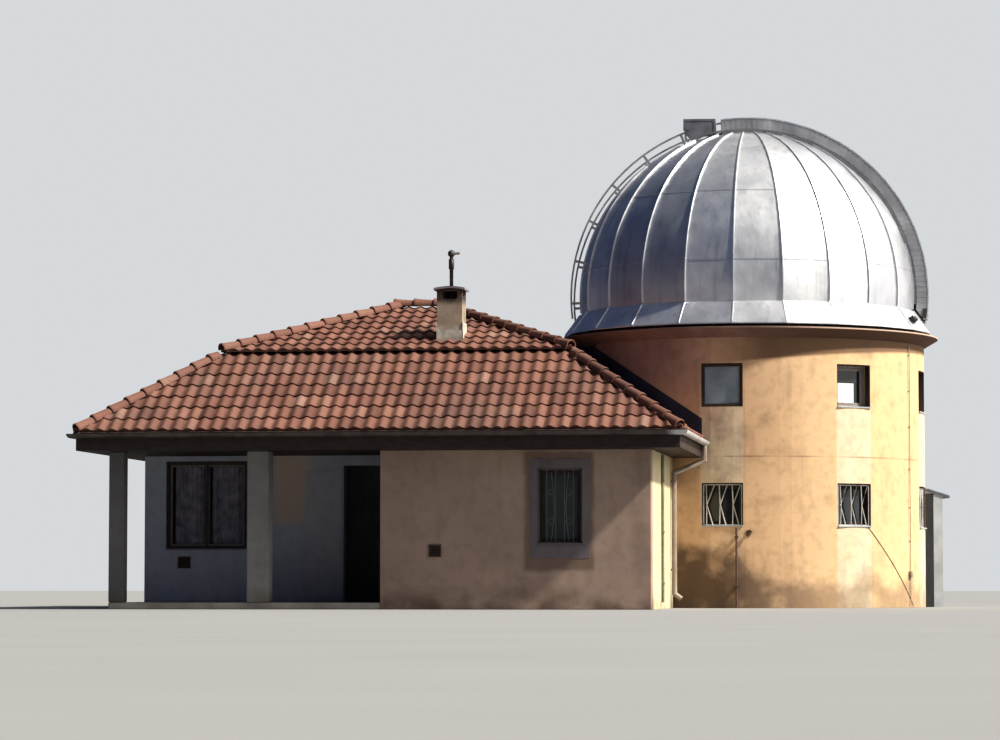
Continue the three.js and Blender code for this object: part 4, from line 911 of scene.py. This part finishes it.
def scroll_grille(name, place, u, z, v):
    """Light vertical bars with a pair of bowed bars and small rings between them."""
    u0, z0, z1, width = u[0], z[0], z[1], u[1] - u[0]
    shape = Shape()
    edge, tall = (u[0] + 0.01, u[1] - 0.01), (z0 + 0.03, z1 - 0.01)
    shape.border(place, edge, (v - 0.006, v + 0.006), tall, 0.014, lapped=True)
    for share in (0.2, 0.4, 0.6, 0.8):
        a = u0 + width * share
        round_bar(shape, place, [(a, z0 + 0.04), (a, z1 - 0.02)], v, 0.006)
    steps, radius, reach = 12, 0.045, z1 - z0 - 0.12
    for share, side in ((0.3, 1), (0.7, -1)):
        a = u0 + width * share
        turns = [(math.pi * t / steps, t / steps) for t in range(steps + 1)]
        bow = [(a + side * radius * math.sin(turn), z0 + 0.06 + reach * t) for turn, t in turns]
        round_bar(shape, place, bow, v, 0.006)
        for up in (-0.22, 0.22):
            cz = (z0 + z1) / 2 + up
            ring = [
                (a + radius * math.cos(2 * turn), cz + radius * math.sin(2 * turn))
                for turn, _ in turns
            ]
            round_bar(shape, place, ring, v, 0.005)
    shape.piece(name, DULL_GRILLE)


def curtain(name, u):
    """A gathered net curtain that hangs behind the porch window's glass."""
    low, high = CURTAIN_Z
    behind, waves, rows, depth = -0.15, 6, 8, 0.018
    columns = waves * 10
    points = []
    for r in range(rows + 1):
        for i in range(columns + 1):
            t = i / columns
            swing = math.sin(math.tau * waves * t) * (0.7 + 0.3 * math.sin(t * 9.0))
            z = high - (high - low) * r / rows
            points.append(on_porch(u[0] + (u[1] - u[0]) * t, behind + depth * swing, z))
    shape = Shape()
    shape.add(points, grid_faces(rows, columns))
    made = shape.piece(name, CLOTH, smooth=80, solid=False)


def build_house_windows():
    window("window_front", on_front, FRONT_WINDOW_X, WINDOW_Z, 0.12, glass=DULL_GLASS)
    scroll_grille("window_front_grille", on_front, FRONT_WINDOW_X, WINDOW_Z, -0.05)
    porch = {"casements": 2, "sash": SASH, "glass": CLEAR_GLASS}
    window("window_porch", on_porch, PORCH_WINDOW_X, PORCH_WINDOW_Z, 0.06, **porch)
    for name, span in CURTAINS_X.items():
        curtain("window_porch_curtain_" + name, span)
    window("window_left", on_left, LEFT_WINDOW_Y, WINDOW_Z, 0.12)
    window("window_rear", on_rear, REAR_WINDOW_X, WINDOW_Z, 0.12)


def cement_patch(name, place, hole, outer, v):
    """A thin skim of cement round an opening, with an uneven outer edge."""
    steps = 14
    corners = [(0, 0), (1, 0), (1, 1), (0, 1), (0, 0)]
    chance = random.Random(3)
    points = []
    for (i, k), (far_i, far_k) in zip(corners, corners[1:]):
        for step in range(steps):
            t = step / steps
            inner, far = (
                (u[i] + (u[far_i] - u[i]) * t, z[k] + (z[far_k] - z[k]) * t)
                for u, z in (hole, outer)
            )
            wobble = (chance.uniform(-0.01, 0.01), chance.uniform(-0.01, 0.01))
            points.append(place(inner[0], 0.0, inner[1]))
            points.append(place(inner[0], v, inner[1]))
            for share, height in ((1.0, v * 0.8), (1.4, 0.0)):
                a, c = (far[n] + wobble[n] * share for n in (0, 1))
                points.append(place(a, height, c))
    faces = []
    for a in range(0, len(points), 4):
        b = (a + 4) % len(points)
        faces += [(a + k, b + k, b + (k + 1) % 4, a + (k + 1) % 4) for k in range(4)]
    shape = Shape()
    shape.add(points, faces)
    shape.piece(name, PATCH, smooth=25)


def vent(name, place, u, z):
    back, shape = Shape(), Shape()
    back.slab(place, u, (0.001, 0.006), z)
    # The vent's back plate is painted shade of the hole behind the louvres.
    back.piece(name + "_back", HOLE_SHADE)
    rim, blades = 0.016, 6
    shape.border(place, u, (0.0, rim), z, rim)
    for i in range(blades):
        c = z[0] + rim + (z[1] - z[0] - 2 * rim) * (i + 0.5) / blades
        shape.slab(place, (u[0] + rim, u[1] - rim), (0.006, 0.013), (c - 0.004, c + 0.004))
    shape.piece(name, RUST)


# Walls, floors, trim
def build_walls():
    for name in "front front_right right door_head rear_right rear rear_left house".split():
        dressed("tower_wall_" + name, TOWER)
    dressed("ring_beam", CORNICE)
    dressed("tower_slab", CONCRETE)
    dressed("tower_upper_floor", CONCRETE)
    dressed("dome_track", STEEL)
    dressed("tower_glass_lower", GLASS)
    dressed("tower_glass_upper", GLASS)
    for name in ("front_wall", "left_wall", "rear_wall"):
        dressed(name, HOUSE, bevel=0.008)
    dressed("right_wall", SIDE)
    for name in ("porch_wall", "door_head_wall", "block_side_wall"):
        dressed(name, PORCH)
    dressed("porch_column_corner", CORNER, bevel=0.012)
    dressed("porch_column_front", COLUMN, bevel=0.012)
    for name in ("house_floor", "porch_floor"):
        dressed(name, CONCRETE, bevel=0.008)
    dressed("ceiling", TIMBER)
    dressed("fascia", FASCIA, bevel=0.004)
    dressed("roof_flashing", BITUMEN_AND_SHADE)
    dressed("gutters", GUTTER, smooth=35)
    dressed("downpipe", PIPE, smooth=50)
    for door in ("entrance_door", "side_door"):
        dressed(door + "_hinges", STEEL, smooth=40)
        dressed(door, DOOR, door, 40)
    dressed("chimney_stack", CHIMNEY, bevel=0.01)
    dressed("flue_cowl", STEEL, smooth=60)


def build_wall_details():
    hole = [(a - 0.002, b + 0.002) for a, b in (FRONT_WINDOW_X, WINDOW_Z)]
    cement_patch("window_cement_patch", on_front, hole, ((-2.90, -1.99), (0.78, 2.30)), 0.006)
    vent("front_vent", on_front, (-4.469, -4.278), (0.80, 0.99))
    vent("porch_vent", on_porch, (-8.86, -8.65), (0.64, 0.83))
    panel = Shape()
    panel.slab(on_porch, (-6.78, -6.19), (0.0, 0.012), (FLOOR, 2.20))
    panel.piece("porch_wall_panel", PORCH_PANEL)

    conduit = Shape()
    y = CONDUIT_Y
    conduit.tube([on_right(y, CONDUIT_R, z) for z in (0.1, 2.42)], CONDUIT_R, 14)
    for z in (0.4, 1.2, 2.0):
        conduit.slab(on_right, (y - 0.032, y + 0.032), (0.0, 0.052), (z - 0.014, z + 0.014))
    conduit.piece("side_wall_conduit", MOSSY)

    rod = Shape()
    place, sunk = around(ROD_DEG), TOWER_R - 0.004
    rod.tube([place(0, TOWER_R + 0.022, z) for z in (0.03, 4.39)], 0.007, 8)
    for z in (0.55, 1.1, 1.66, 2.3, 3.0, 3.6, 4.2):
        rod.slab(place, (-0.013, 0.013), (sunk, TOWER_R + 0.031), (z - 0.008, z + 0.008))
    rod.slab(place, (-0.035, 0.035), (sunk, TOWER_R + 0.05), (0.5, 0.60))
    rod.piece("tower_wall_rod", ROD)

    line, path, steps = Shape(), [], 24
    for i in range(steps + 1):
        deg, z = (a + (b - a) * i / steps for a, b in (LINE_DEG, LINE_Z))
        path.append(around(deg)(0, TOWER_R + 0.006, z))
    line.tube(path, 0.0055, 6)
    line.piece("tower_wall_line", ROD)

    pole = Shape()
    place = around(FOOT_PIPE_DEG)
    pole.tube([place(0, TOWER_R + 0.05, z) for z in (0.0, 1.30)], 0.017)
    for z in (0.35, 1.15):
        pole.slab(place, (-0.03, 0.03), (sunk, TOWER_R + 0.07), (z - 0.015, z + 0.015))
    pole.piece("tower_foot_pipe", RUST)
    lamp = Shape()
    place = around(LAMP_DEG)
    lamp.slab(place, (-0.03, 0.03), (sunk, TOWER_R + 0.012), (1.17, 1.26))
    lamp.tube([place(-0.02, TOWER_R + 0.05, 1.165), place(0.04, TOWER_R + 0.06, 1.255)], 0.032)
    lamp.tube([place(0, TOWER_R, 1.22), place(0.01, TOWER_R + 0.05, 1.21)], 0.012)
    lamp.piece("tower_lamp", RUST)


def build_gutter_details():
    hooks = Shape()
    x0, x1, y0, y1 = EAVES
    rims = (
        (lambda s, d, z: (s, y0 - d, z), x0, x1),
        (lambda s, d, z: (x1 + d, s, z), y0, y1),
        (lambda s, d, z: (s, y1 + d, z), x0, x1),
        (lambda s, d, z: (x0 - d, s, z), y0, y1),
    )
    count = 13
    for place, low, high in rims:
        for i in range(count):
            s = low + (high - low) * (i + 0.5) / count
            if not inside_tower(Vector(place(s, 0.06, 0)), 3.1):
                hooks.slab(place, (s - 0.012, s + 0.012), (0.003, 0.1235), (2.694, 2.6975))
    hooks.piece("gutter_hooks", GUTTER)


def build_chimney_cap():
    x0, x1, y0, y1 = STACK
    lip, top, drop, thick = 0.045, 5.13, 0.03, 0.035
    cx, cy, half = (x0 + x1) / 2, (y0 + y1) / 2, (x1 - x0) / 2 + lip
    steps = 10
    points = []
    for i in range(steps + 1):
        x = x0 - lip + 2 * half * i / steps
        z = top - drop * ((x - cx) / half) ** 2
        near, far = y0 - lip, y1 + lip
        points += [(x, near, z - thick), (x, near, z), (x, far, z), (x, far, z - thick)]
    cap, core, lead = Shape(), Shape(), Shape()
    cap.add(points, bar_faces(steps + 1, 4))
    cap.piece("chimney_cap_plate", CAP, "concrete", smooth=40, stands_for=("chimney_cap",))
    reach, thin = 0.098, 0.006
    for dx, dy in ((reach, thin), (thin, reach)):
        core.box((cx - dx, cx + dx), (cy - dy, cy + dy), (4.80, 5.078))
    # The partition's near-black is painted shade inside the flue.
    core.piece("chimney_flue_partition", HOLE_SHADE)
    out, foot = 0.012, (4.16, 4.55)
    lead.box((x0 - out, x1 + out), (y0 - out, y0 - 0.002), (4.13, 4.42))
    lead.box((x1 + 0.002, x1 + out), (y0 - out, y1 + out), foot)
    lead.box((x0 - out, x0 - 0.002), (y0 - out, y1 + out), foot)
    lead.piece("chimney_foot_fillet", PALE_MORTAR)


def build_lean_to():
    place = around(SIDE_DOOR_DEG)
    tall = (0.0, 1.93)
    for name, side in (("near", -1), ("far", 1)):
        dressed("side_porch_panel_" + name, SHEET)
        post = Shape()
        post.slab(place, sorted((side * 0.538, side * 0.545)), (2.957, 3.088), tall)
        post.slab(place, sorted((side * 0.468, side * 0.545)), (3.0905, 3.10), tall)
        post.piece("side_porch_post_" + name, DOOR)
    ribs = Shape()
    for i in range(9):
        u = -0.52 + 0.13 * i
        points = []
        for n in (3.02, 3.375):
            z = 2.01 - (n - TOWER_R) * 0.3
            for du, dz in ((-0.03, 0.0), (-0.014, 0.014), (0.014, 0.014), (0.03, 0.0)):
                points.append(place(u + du, n, z + dz))
        ribs.add(points, bar_faces(2, 4))
    ribs.piece("side_porch_roof_ribs", LEAN_ROOF)
    dressed("side_porch_roof", LEAN_ROOF)


def build_doors():
    panels, handle, boards, latch = Shape(), Shape(), Shape(), Shape()
    face, rim = -4.465, 0.04
    for x0, x1 in ((-6.05, -5.74), (-5.65, -5.34)):
        for z0, z1 in ((0.25, 1.0), (1.12, 2.12)):
            panels.box((x0, x1), (face - 0.008, face + 0.002), (z0, z1))
            inner = (x0 + rim, x1 - rim), (face - 0.014, face - 0.006), (z0 + rim, z1 - rim)
            panels.box(*inner)
    panels.piece("entrance_door_panels", DOOR, "door_wood", "entrance_door")
    handle.box((-5.31, -5.27), (face - 0.006, face + 0.001), (1.05, 1.25))
    grip = face - 0.045
    handle.tube([(-5.29, face, 1.19), (-5.29, grip, 1.19)], 0.009)
    handle.tube([(-5.285, grip, 1.19), (-5.40, grip, 1.19)], 0.009)
    handle.piece("entrance_door_handle", STEEL, "dark_steel", "entrance_door")
    place = around(SIDE_DOOR_DEG)
    for i in range(6):
        u = -0.385 + 0.13 * i
        boards.slab(place, (u + 0.004, u + 0.122), (2.634, 2.641), (0.10, 1.90))
    boards.piece("side_door_boards", DOOR, "door_wood", "side_door")
    latch.slab(place, (-0.36, -0.30), (2.640, 2.648), (0.95, 1.08))
    latch.tube([place(-0.33, 2.645, 1.03), place(-0.33, 2.68, 1.03)], 0.008)
    latch.tube([place(-0.335, 2.68, 1.03), place(-0.235, 2.68, 1.03)], 0.008)
    latch.piece("side_door_handle", STEEL, "dark_steel", "side_door")


# Dome
SLIT_AHEAD, SLIT_ACROSS = around(SLIT_DEG)(0, 1, 0), around(SLIT_DEG)(1, 0, 0)


def across_slit(point):
    """A point's distance to the slit's middle line."""
    return abs(point.dot(SLIT_ACROSS))


def seam_stands(point):
    """Seams end beside the slit; behind its upper end they run on between the rails."""
    behind = point.dot(SLIT_AHEAD) <= -0.36
    return across_slit(point) > 0.60 or (behind and across_slit(point) < 0.47)


def dome_point(deg, rise_deg, radius):
    return DOME_CENTRE + direction(deg, rise_deg) * radius


def gores_past(point):
    """How many gores lie between the first seam and a point, in parts of a gore."""
    return (math.degrees(math.atan2(point.x, -point.y)) - FIRST_SEAM) % 360 / GORE_DEG


def fin(shape, run, deg, height):
    """A standing seam: a thin fin along a run of (point, outward direction) places."""
    half, foot = 0.008, 0.006
    side = around(deg)(1, 0, 0)
    points = []
    for point, out in run:
        for across, lift in ((-half, -foot), (-half, height), (half, height), (half, -foot)):
            points.append(point + side * across + out * lift)
    shape.add(points, bar_faces(len(run), 4), rng.uniform(0.4, 0.9))


def dome_skin(node, smooth, tone_at):
    mesh, work = welded(node)
    work.to_mesh(mesh)
    work.free()
    set_tones(mesh, [tone_at(face.center) for face in mesh.polygons])
    return settle(node + "_skin", mesh, DOME, "dome", smooth, (node,))


def build_dome():
    tones = [random.Random(40 + i).uniform(0.2, 1.0) for i in range(GORES)]
    # The gores facing the camera get a light tone: a painted reflection, brighter than their random
    # tones.
    for gore in FRONT_GORES_PAINTED_LIGHT:
        tones[gore] = 0.95
    for node in ("dome_shell_near", "dome_shell_far", "dome_crown_near", "dome_crown_far"):
        shift = -0.12 if "crown" in node else 0.0
        skin = dome_skin(node, 180, lambda at: tones[int(gores_past(at))] + shift)
        mark_seams(skin.data)

    seams, laps = Shape(), Shape()
    steps = 60
    for i in range(GORES):
        deg = FIRST_SEAM + i * GORE_DEG
        runs, run = [], []
        for k in range(steps + 1):
            point = dome_point(deg, SEAM_FOOT + SEAM_SPAN * k / steps, DOME_R)
            if seam_stands(point):
                run.append((point, (point - DOME_CENTRE).normalized()))
            elif run:
                runs.append(run)
                run = []
        runs.append(run)
        for run in runs:
            if len(run) > 1:
                fin(seams, run, deg, 0.024)
        out = around(deg)
        normal = out(0, 0.37, 0.28).normalized()
        fin(seams, [(out(0, r, z), normal) for r, z in SKIRT_LINE], deg, 0.014)
        for rise in LAPS_DEG:
            rows = ((rise - 0.5, -0.004), (rise - 0.5, 0.003), (rise, 0.003), (rise, 0.0))
            ends = (deg, deg + GORE_DEG)
            points = [dome_point(d, e, DOME_R + lift) for e, lift in rows for d in ends]
            if all(seam_stands(p) for p in points[-2:]):
                laps.add(points, grid_faces(3, 1))
    seams.piece("dome_seams", SEAM, "dome_sheet", "dome", smooth=40)
    laps.piece("dome_laps", DOME, "dome_sheet", "dome", smooth=20, solid=False)

    dome_skin("dome_skirt", 12, lambda at: 0.75)
    dressed("dome_base_ring", STEEL, "dome")
    dressed("shutter_rail_near", ZINC, "dome")
    dressed("shutter_rail_far", ZINC, "dome")


def mark_seams(mesh):
    """Gores stay flat across and round along: only edges that lie on a seam are sharp."""
    name = "sharp_edge"
    sharp = mesh.attributes.get(name) or mesh.attributes.new(name, "BOOLEAN", "EDGE")
    near_seam = 0.05 / GORE_DEG
    flags = []
    for edge in mesh.edges:
        ends = [mesh.vertices[v].co for v in edge.vertices]
        on_seam = all(abs((gores_past(p) + 0.5) % 1 - 0.5) < near_seam for p in ends)
        level = abs(ends[0].z - ends[1].z) < 1e-4
        radii = [(p - DOME_CENTRE).length for p in ends]
        rim = abs(radii[0] - radii[1]) > 0.004
        cut = any(abs(across_slit(p) - SLIT_HALF) < 0.002 for p in ends)
        base = all(p.z < 5.012 for p in ends)
        joint = all(abs(p.z - SHEET_JOINT_Z) < 0.001 for p in ends)
        flags.append((on_seam and not level) or rim or cut or base or joint)
    sharp.data.foreach_set("value", flags)


def on_shutter(deg, r, across):
    """Places on the shutter: degrees along its arc, radius, distance across the slit."""
    point = dome_point(SLIT_DEG, deg, r) + SLIT_ACROSS * across
    point.z = min(point.z, SHUTTER_TOP_Z)
    return point


def build_shutter():
    dressed("shutter", SHUTTER, "shutter")
    dressed("shutter_tail", SHADED_TAIL, "shutter")
    crimps, edges, foot, winch = Shape(), Shape(), Shape(), Shape()
    half = SHUTTER_HALF
    pitch = math.degrees(0.09 / 2.96)
    count = int(CRIMP_SPAN / pitch)
    width = pitch * 0.22
    for i in range(count):
        deg = CRIMP_FOOT_DEG + (i + 0.5) * CRIMP_SPAN / count
        for side in (-1, 1):
            across = sorted((side * half, side * (half + 0.005)))
            crimps.slab(on_shutter, (deg - width, deg + width), (2.872, 3.040), across)
    crimps.piece("shutter_crimps", SHUTTER, "dome_sheet", "shutter", smooth=20)

    steps = 40
    for side in (-1, 1):
        across = sorted((side * (half - 0.01), side * (half + 0.01)))
        for i in range(steps):
            start = EDGE_FOOT_DEG + EDGE_SPAN * i / steps
            edges.slab(on_shutter, (start, start + EDGE_SPAN / steps), (3.046, 3.066), across)
    for deg in (18, 38, 58, 78):
        ends = (0.01 - half, half - 0.01)
        edges.slab(on_shutter, (deg - 0.35, deg + 0.35), (3.058, 3.064), ends)
    edges.piece("shutter_edges", SEAM, "dome_sheet", "shutter", smooth=20)

    for side in (-1, 1):
        across = sorted((side * (half + 0.0105), side * (half + 0.018)))
        foot.slab(on_shutter, (-7.5, -4.4), (2.97, 3.044), across)
        axle = [on_shutter(-6.6, 2.99, side * (half + reach)) for reach in (0.012, 0.039)]
        foot.tube(axle, 0.032, 16)
    foot.piece("shutter_foot_rollers", STEEL, "dark_steel", "shutter", smooth=40)

    # The winch stands on the skirt, beside the shutter's foot.
    (r0, z0), (r1, z1) = SKIRT_LINE[2:]
    slope = Vector((r1 - r0, 0, z1 - z0)).normalized()

    def on_skirt(u, s, h):
        return around(WINCH_DEG)(u, r0 + slope.x * s - slope.z * h, z0 + slope.z * s + slope.x * h)

    winch.slab(on_skirt, (-0.065, 0.065), (-0.02, 0.10), (-0.004, 0.010))
    for u in ((-0.060, -0.050), (0.050, 0.060)):
        winch.slab(on_skirt, u, (-0.005, 0.085), (0.010, 0.075))
    winch.tube([on_skirt(-0.064, 0.04, 0.045), on_skirt(0.064, 0.04, 0.045)], 0.034, 16)
    winch.piece("shutter_winch", STEEL, "dark_steel", "dome", smooth=40)


# Stage, light and camera
def build_stage():
    paint = Paint("floor_pale", 0.95)
    tone = paint.cloud(0.4, 3, (0.3, (0.25, 0.25, 0.247)), (0.7, (0.265, 0.265, 0.262)))
    mesh = bpy.data.meshes.new("floor")
    reach, z = 220.0, -0.002
    corners = ((-reach, -reach, z), (reach, -reach, z), (reach, reach, z), (-reach, reach, z))
    mesh.from_pydata(corners, [], [(0, 1, 2, 3)])
    mesh.materials.append(paint.done(tone))
    floor = bpy.data.objects.new("floor", mesh)
    bpy.context.scene.collection.objects.link(floor)


def build_light():
    """A soft key from the right, a studio that is bright there and dim on the left, and a pale
    backdrop that only the camera sees."""
    scene = bpy.context.scene
    scene.view_settings.view_transform = "Standard"
    scene.view_settings.look = "Medium High Contrast"
    world = bpy.data.worlds.new("studio")
    scene.world = world
    world.use_nodes = True
    nodes, link = world.node_tree.nodes, world.node_tree.links.new
    room = nodes["Background"]
    room.inputs["Strength"].default_value = 1.7
    toward = nodes.new("ShaderNodeVectorMath")
    toward.operation = "DOT_PRODUCT"
    toward.inputs[1].default_value = direction(*SKY_AT)
    link(nodes.new("ShaderNodeTexCoord").outputs["Generated"], toward.inputs[0])
    share = nodes.new("ShaderNodeMapRange")
    share.inputs["From Min"].default_value = -1.0
    link(toward.outputs["Value"], share.inputs["Value"])
    ramp = nodes.new("ShaderNodeValToRGB")
    link(share.outputs["Result"], ramp.inputs["Fac"])
    link(ramp.outputs["Color"], room.inputs["Color"])
    stops = (
        (0.0, (0.008, 0.014, 0.032)),
        (0.30, (0.011, 0.024, 0.062)),
        (0.48, (0.033, 0.050, 0.086)),
        (0.64, (0.085, 0.092, 0.108)),
        (0.76, (0.22, 0.22, 0.22)),
        (0.88, (0.72, 0.70, 0.67)),
        (1.0, (1.0, 0.97, 0.92)),
    )
    set_stops(ramp, stops)
    backdrop = nodes.new("ShaderNodeBackground")
    backdrop.inputs["Color"].default_value = (0.58, 0.595, 0.61, 1)
    seen = nodes.new("ShaderNodeMixShader")
    link(nodes.new("ShaderNodeLightPath").outputs["Is Camera Ray"], seen.inputs[0])
    link(room.outputs[0], seen.inputs[1])
    link(backdrop.outputs[0], seen.inputs[2])
    link(seen.outputs[0], nodes["World Output"].inputs["Surface"])

    light = bpy.data.lights.new("key", "SUN")
    light.energy = 6.0
    light.angle = math.radians(4)
    light.color = (1.0, 0.95, 0.87)
    key = bpy.data.objects.new("key", light)
    key.rotation_mode = "QUATERNION"
    key.rotation_quaternion = direction(*SUN_AT).to_track_quat("Z", "Y")
    scene.collection.objects.link(key)


def build_camera():
    data = bpy.data.cameras.new("camera")
    data.sensor_width = 36.0
    data.lens = FOCAL_PER_WIDTH * data.sensor_width
    data.clip_start, data.clip_end = 0.5, 1000.0
    camera = bpy.data.objects.new("camera", data)
    camera.location = CAMERA_AT
    ahead = direction(180 - CAMERA_YAW, CAMERA_PITCH)
    camera.rotation_mode = "QUATERNION"
    camera.rotation_quaternion = ahead.to_track_quat("-Z", "Y")
    bpy.context.scene.collection.objects.link(camera)
    bpy.context.scene.camera = camera


build_camera()
build_walls()
build_wall_details()
build_tower_windows()
build_house_windows()
build_roof()
build_gutter_details()
build_chimney_cap()
build_lean_to()
build_doors()
build_dome()
build_shutter()
build_stage()
build_light()
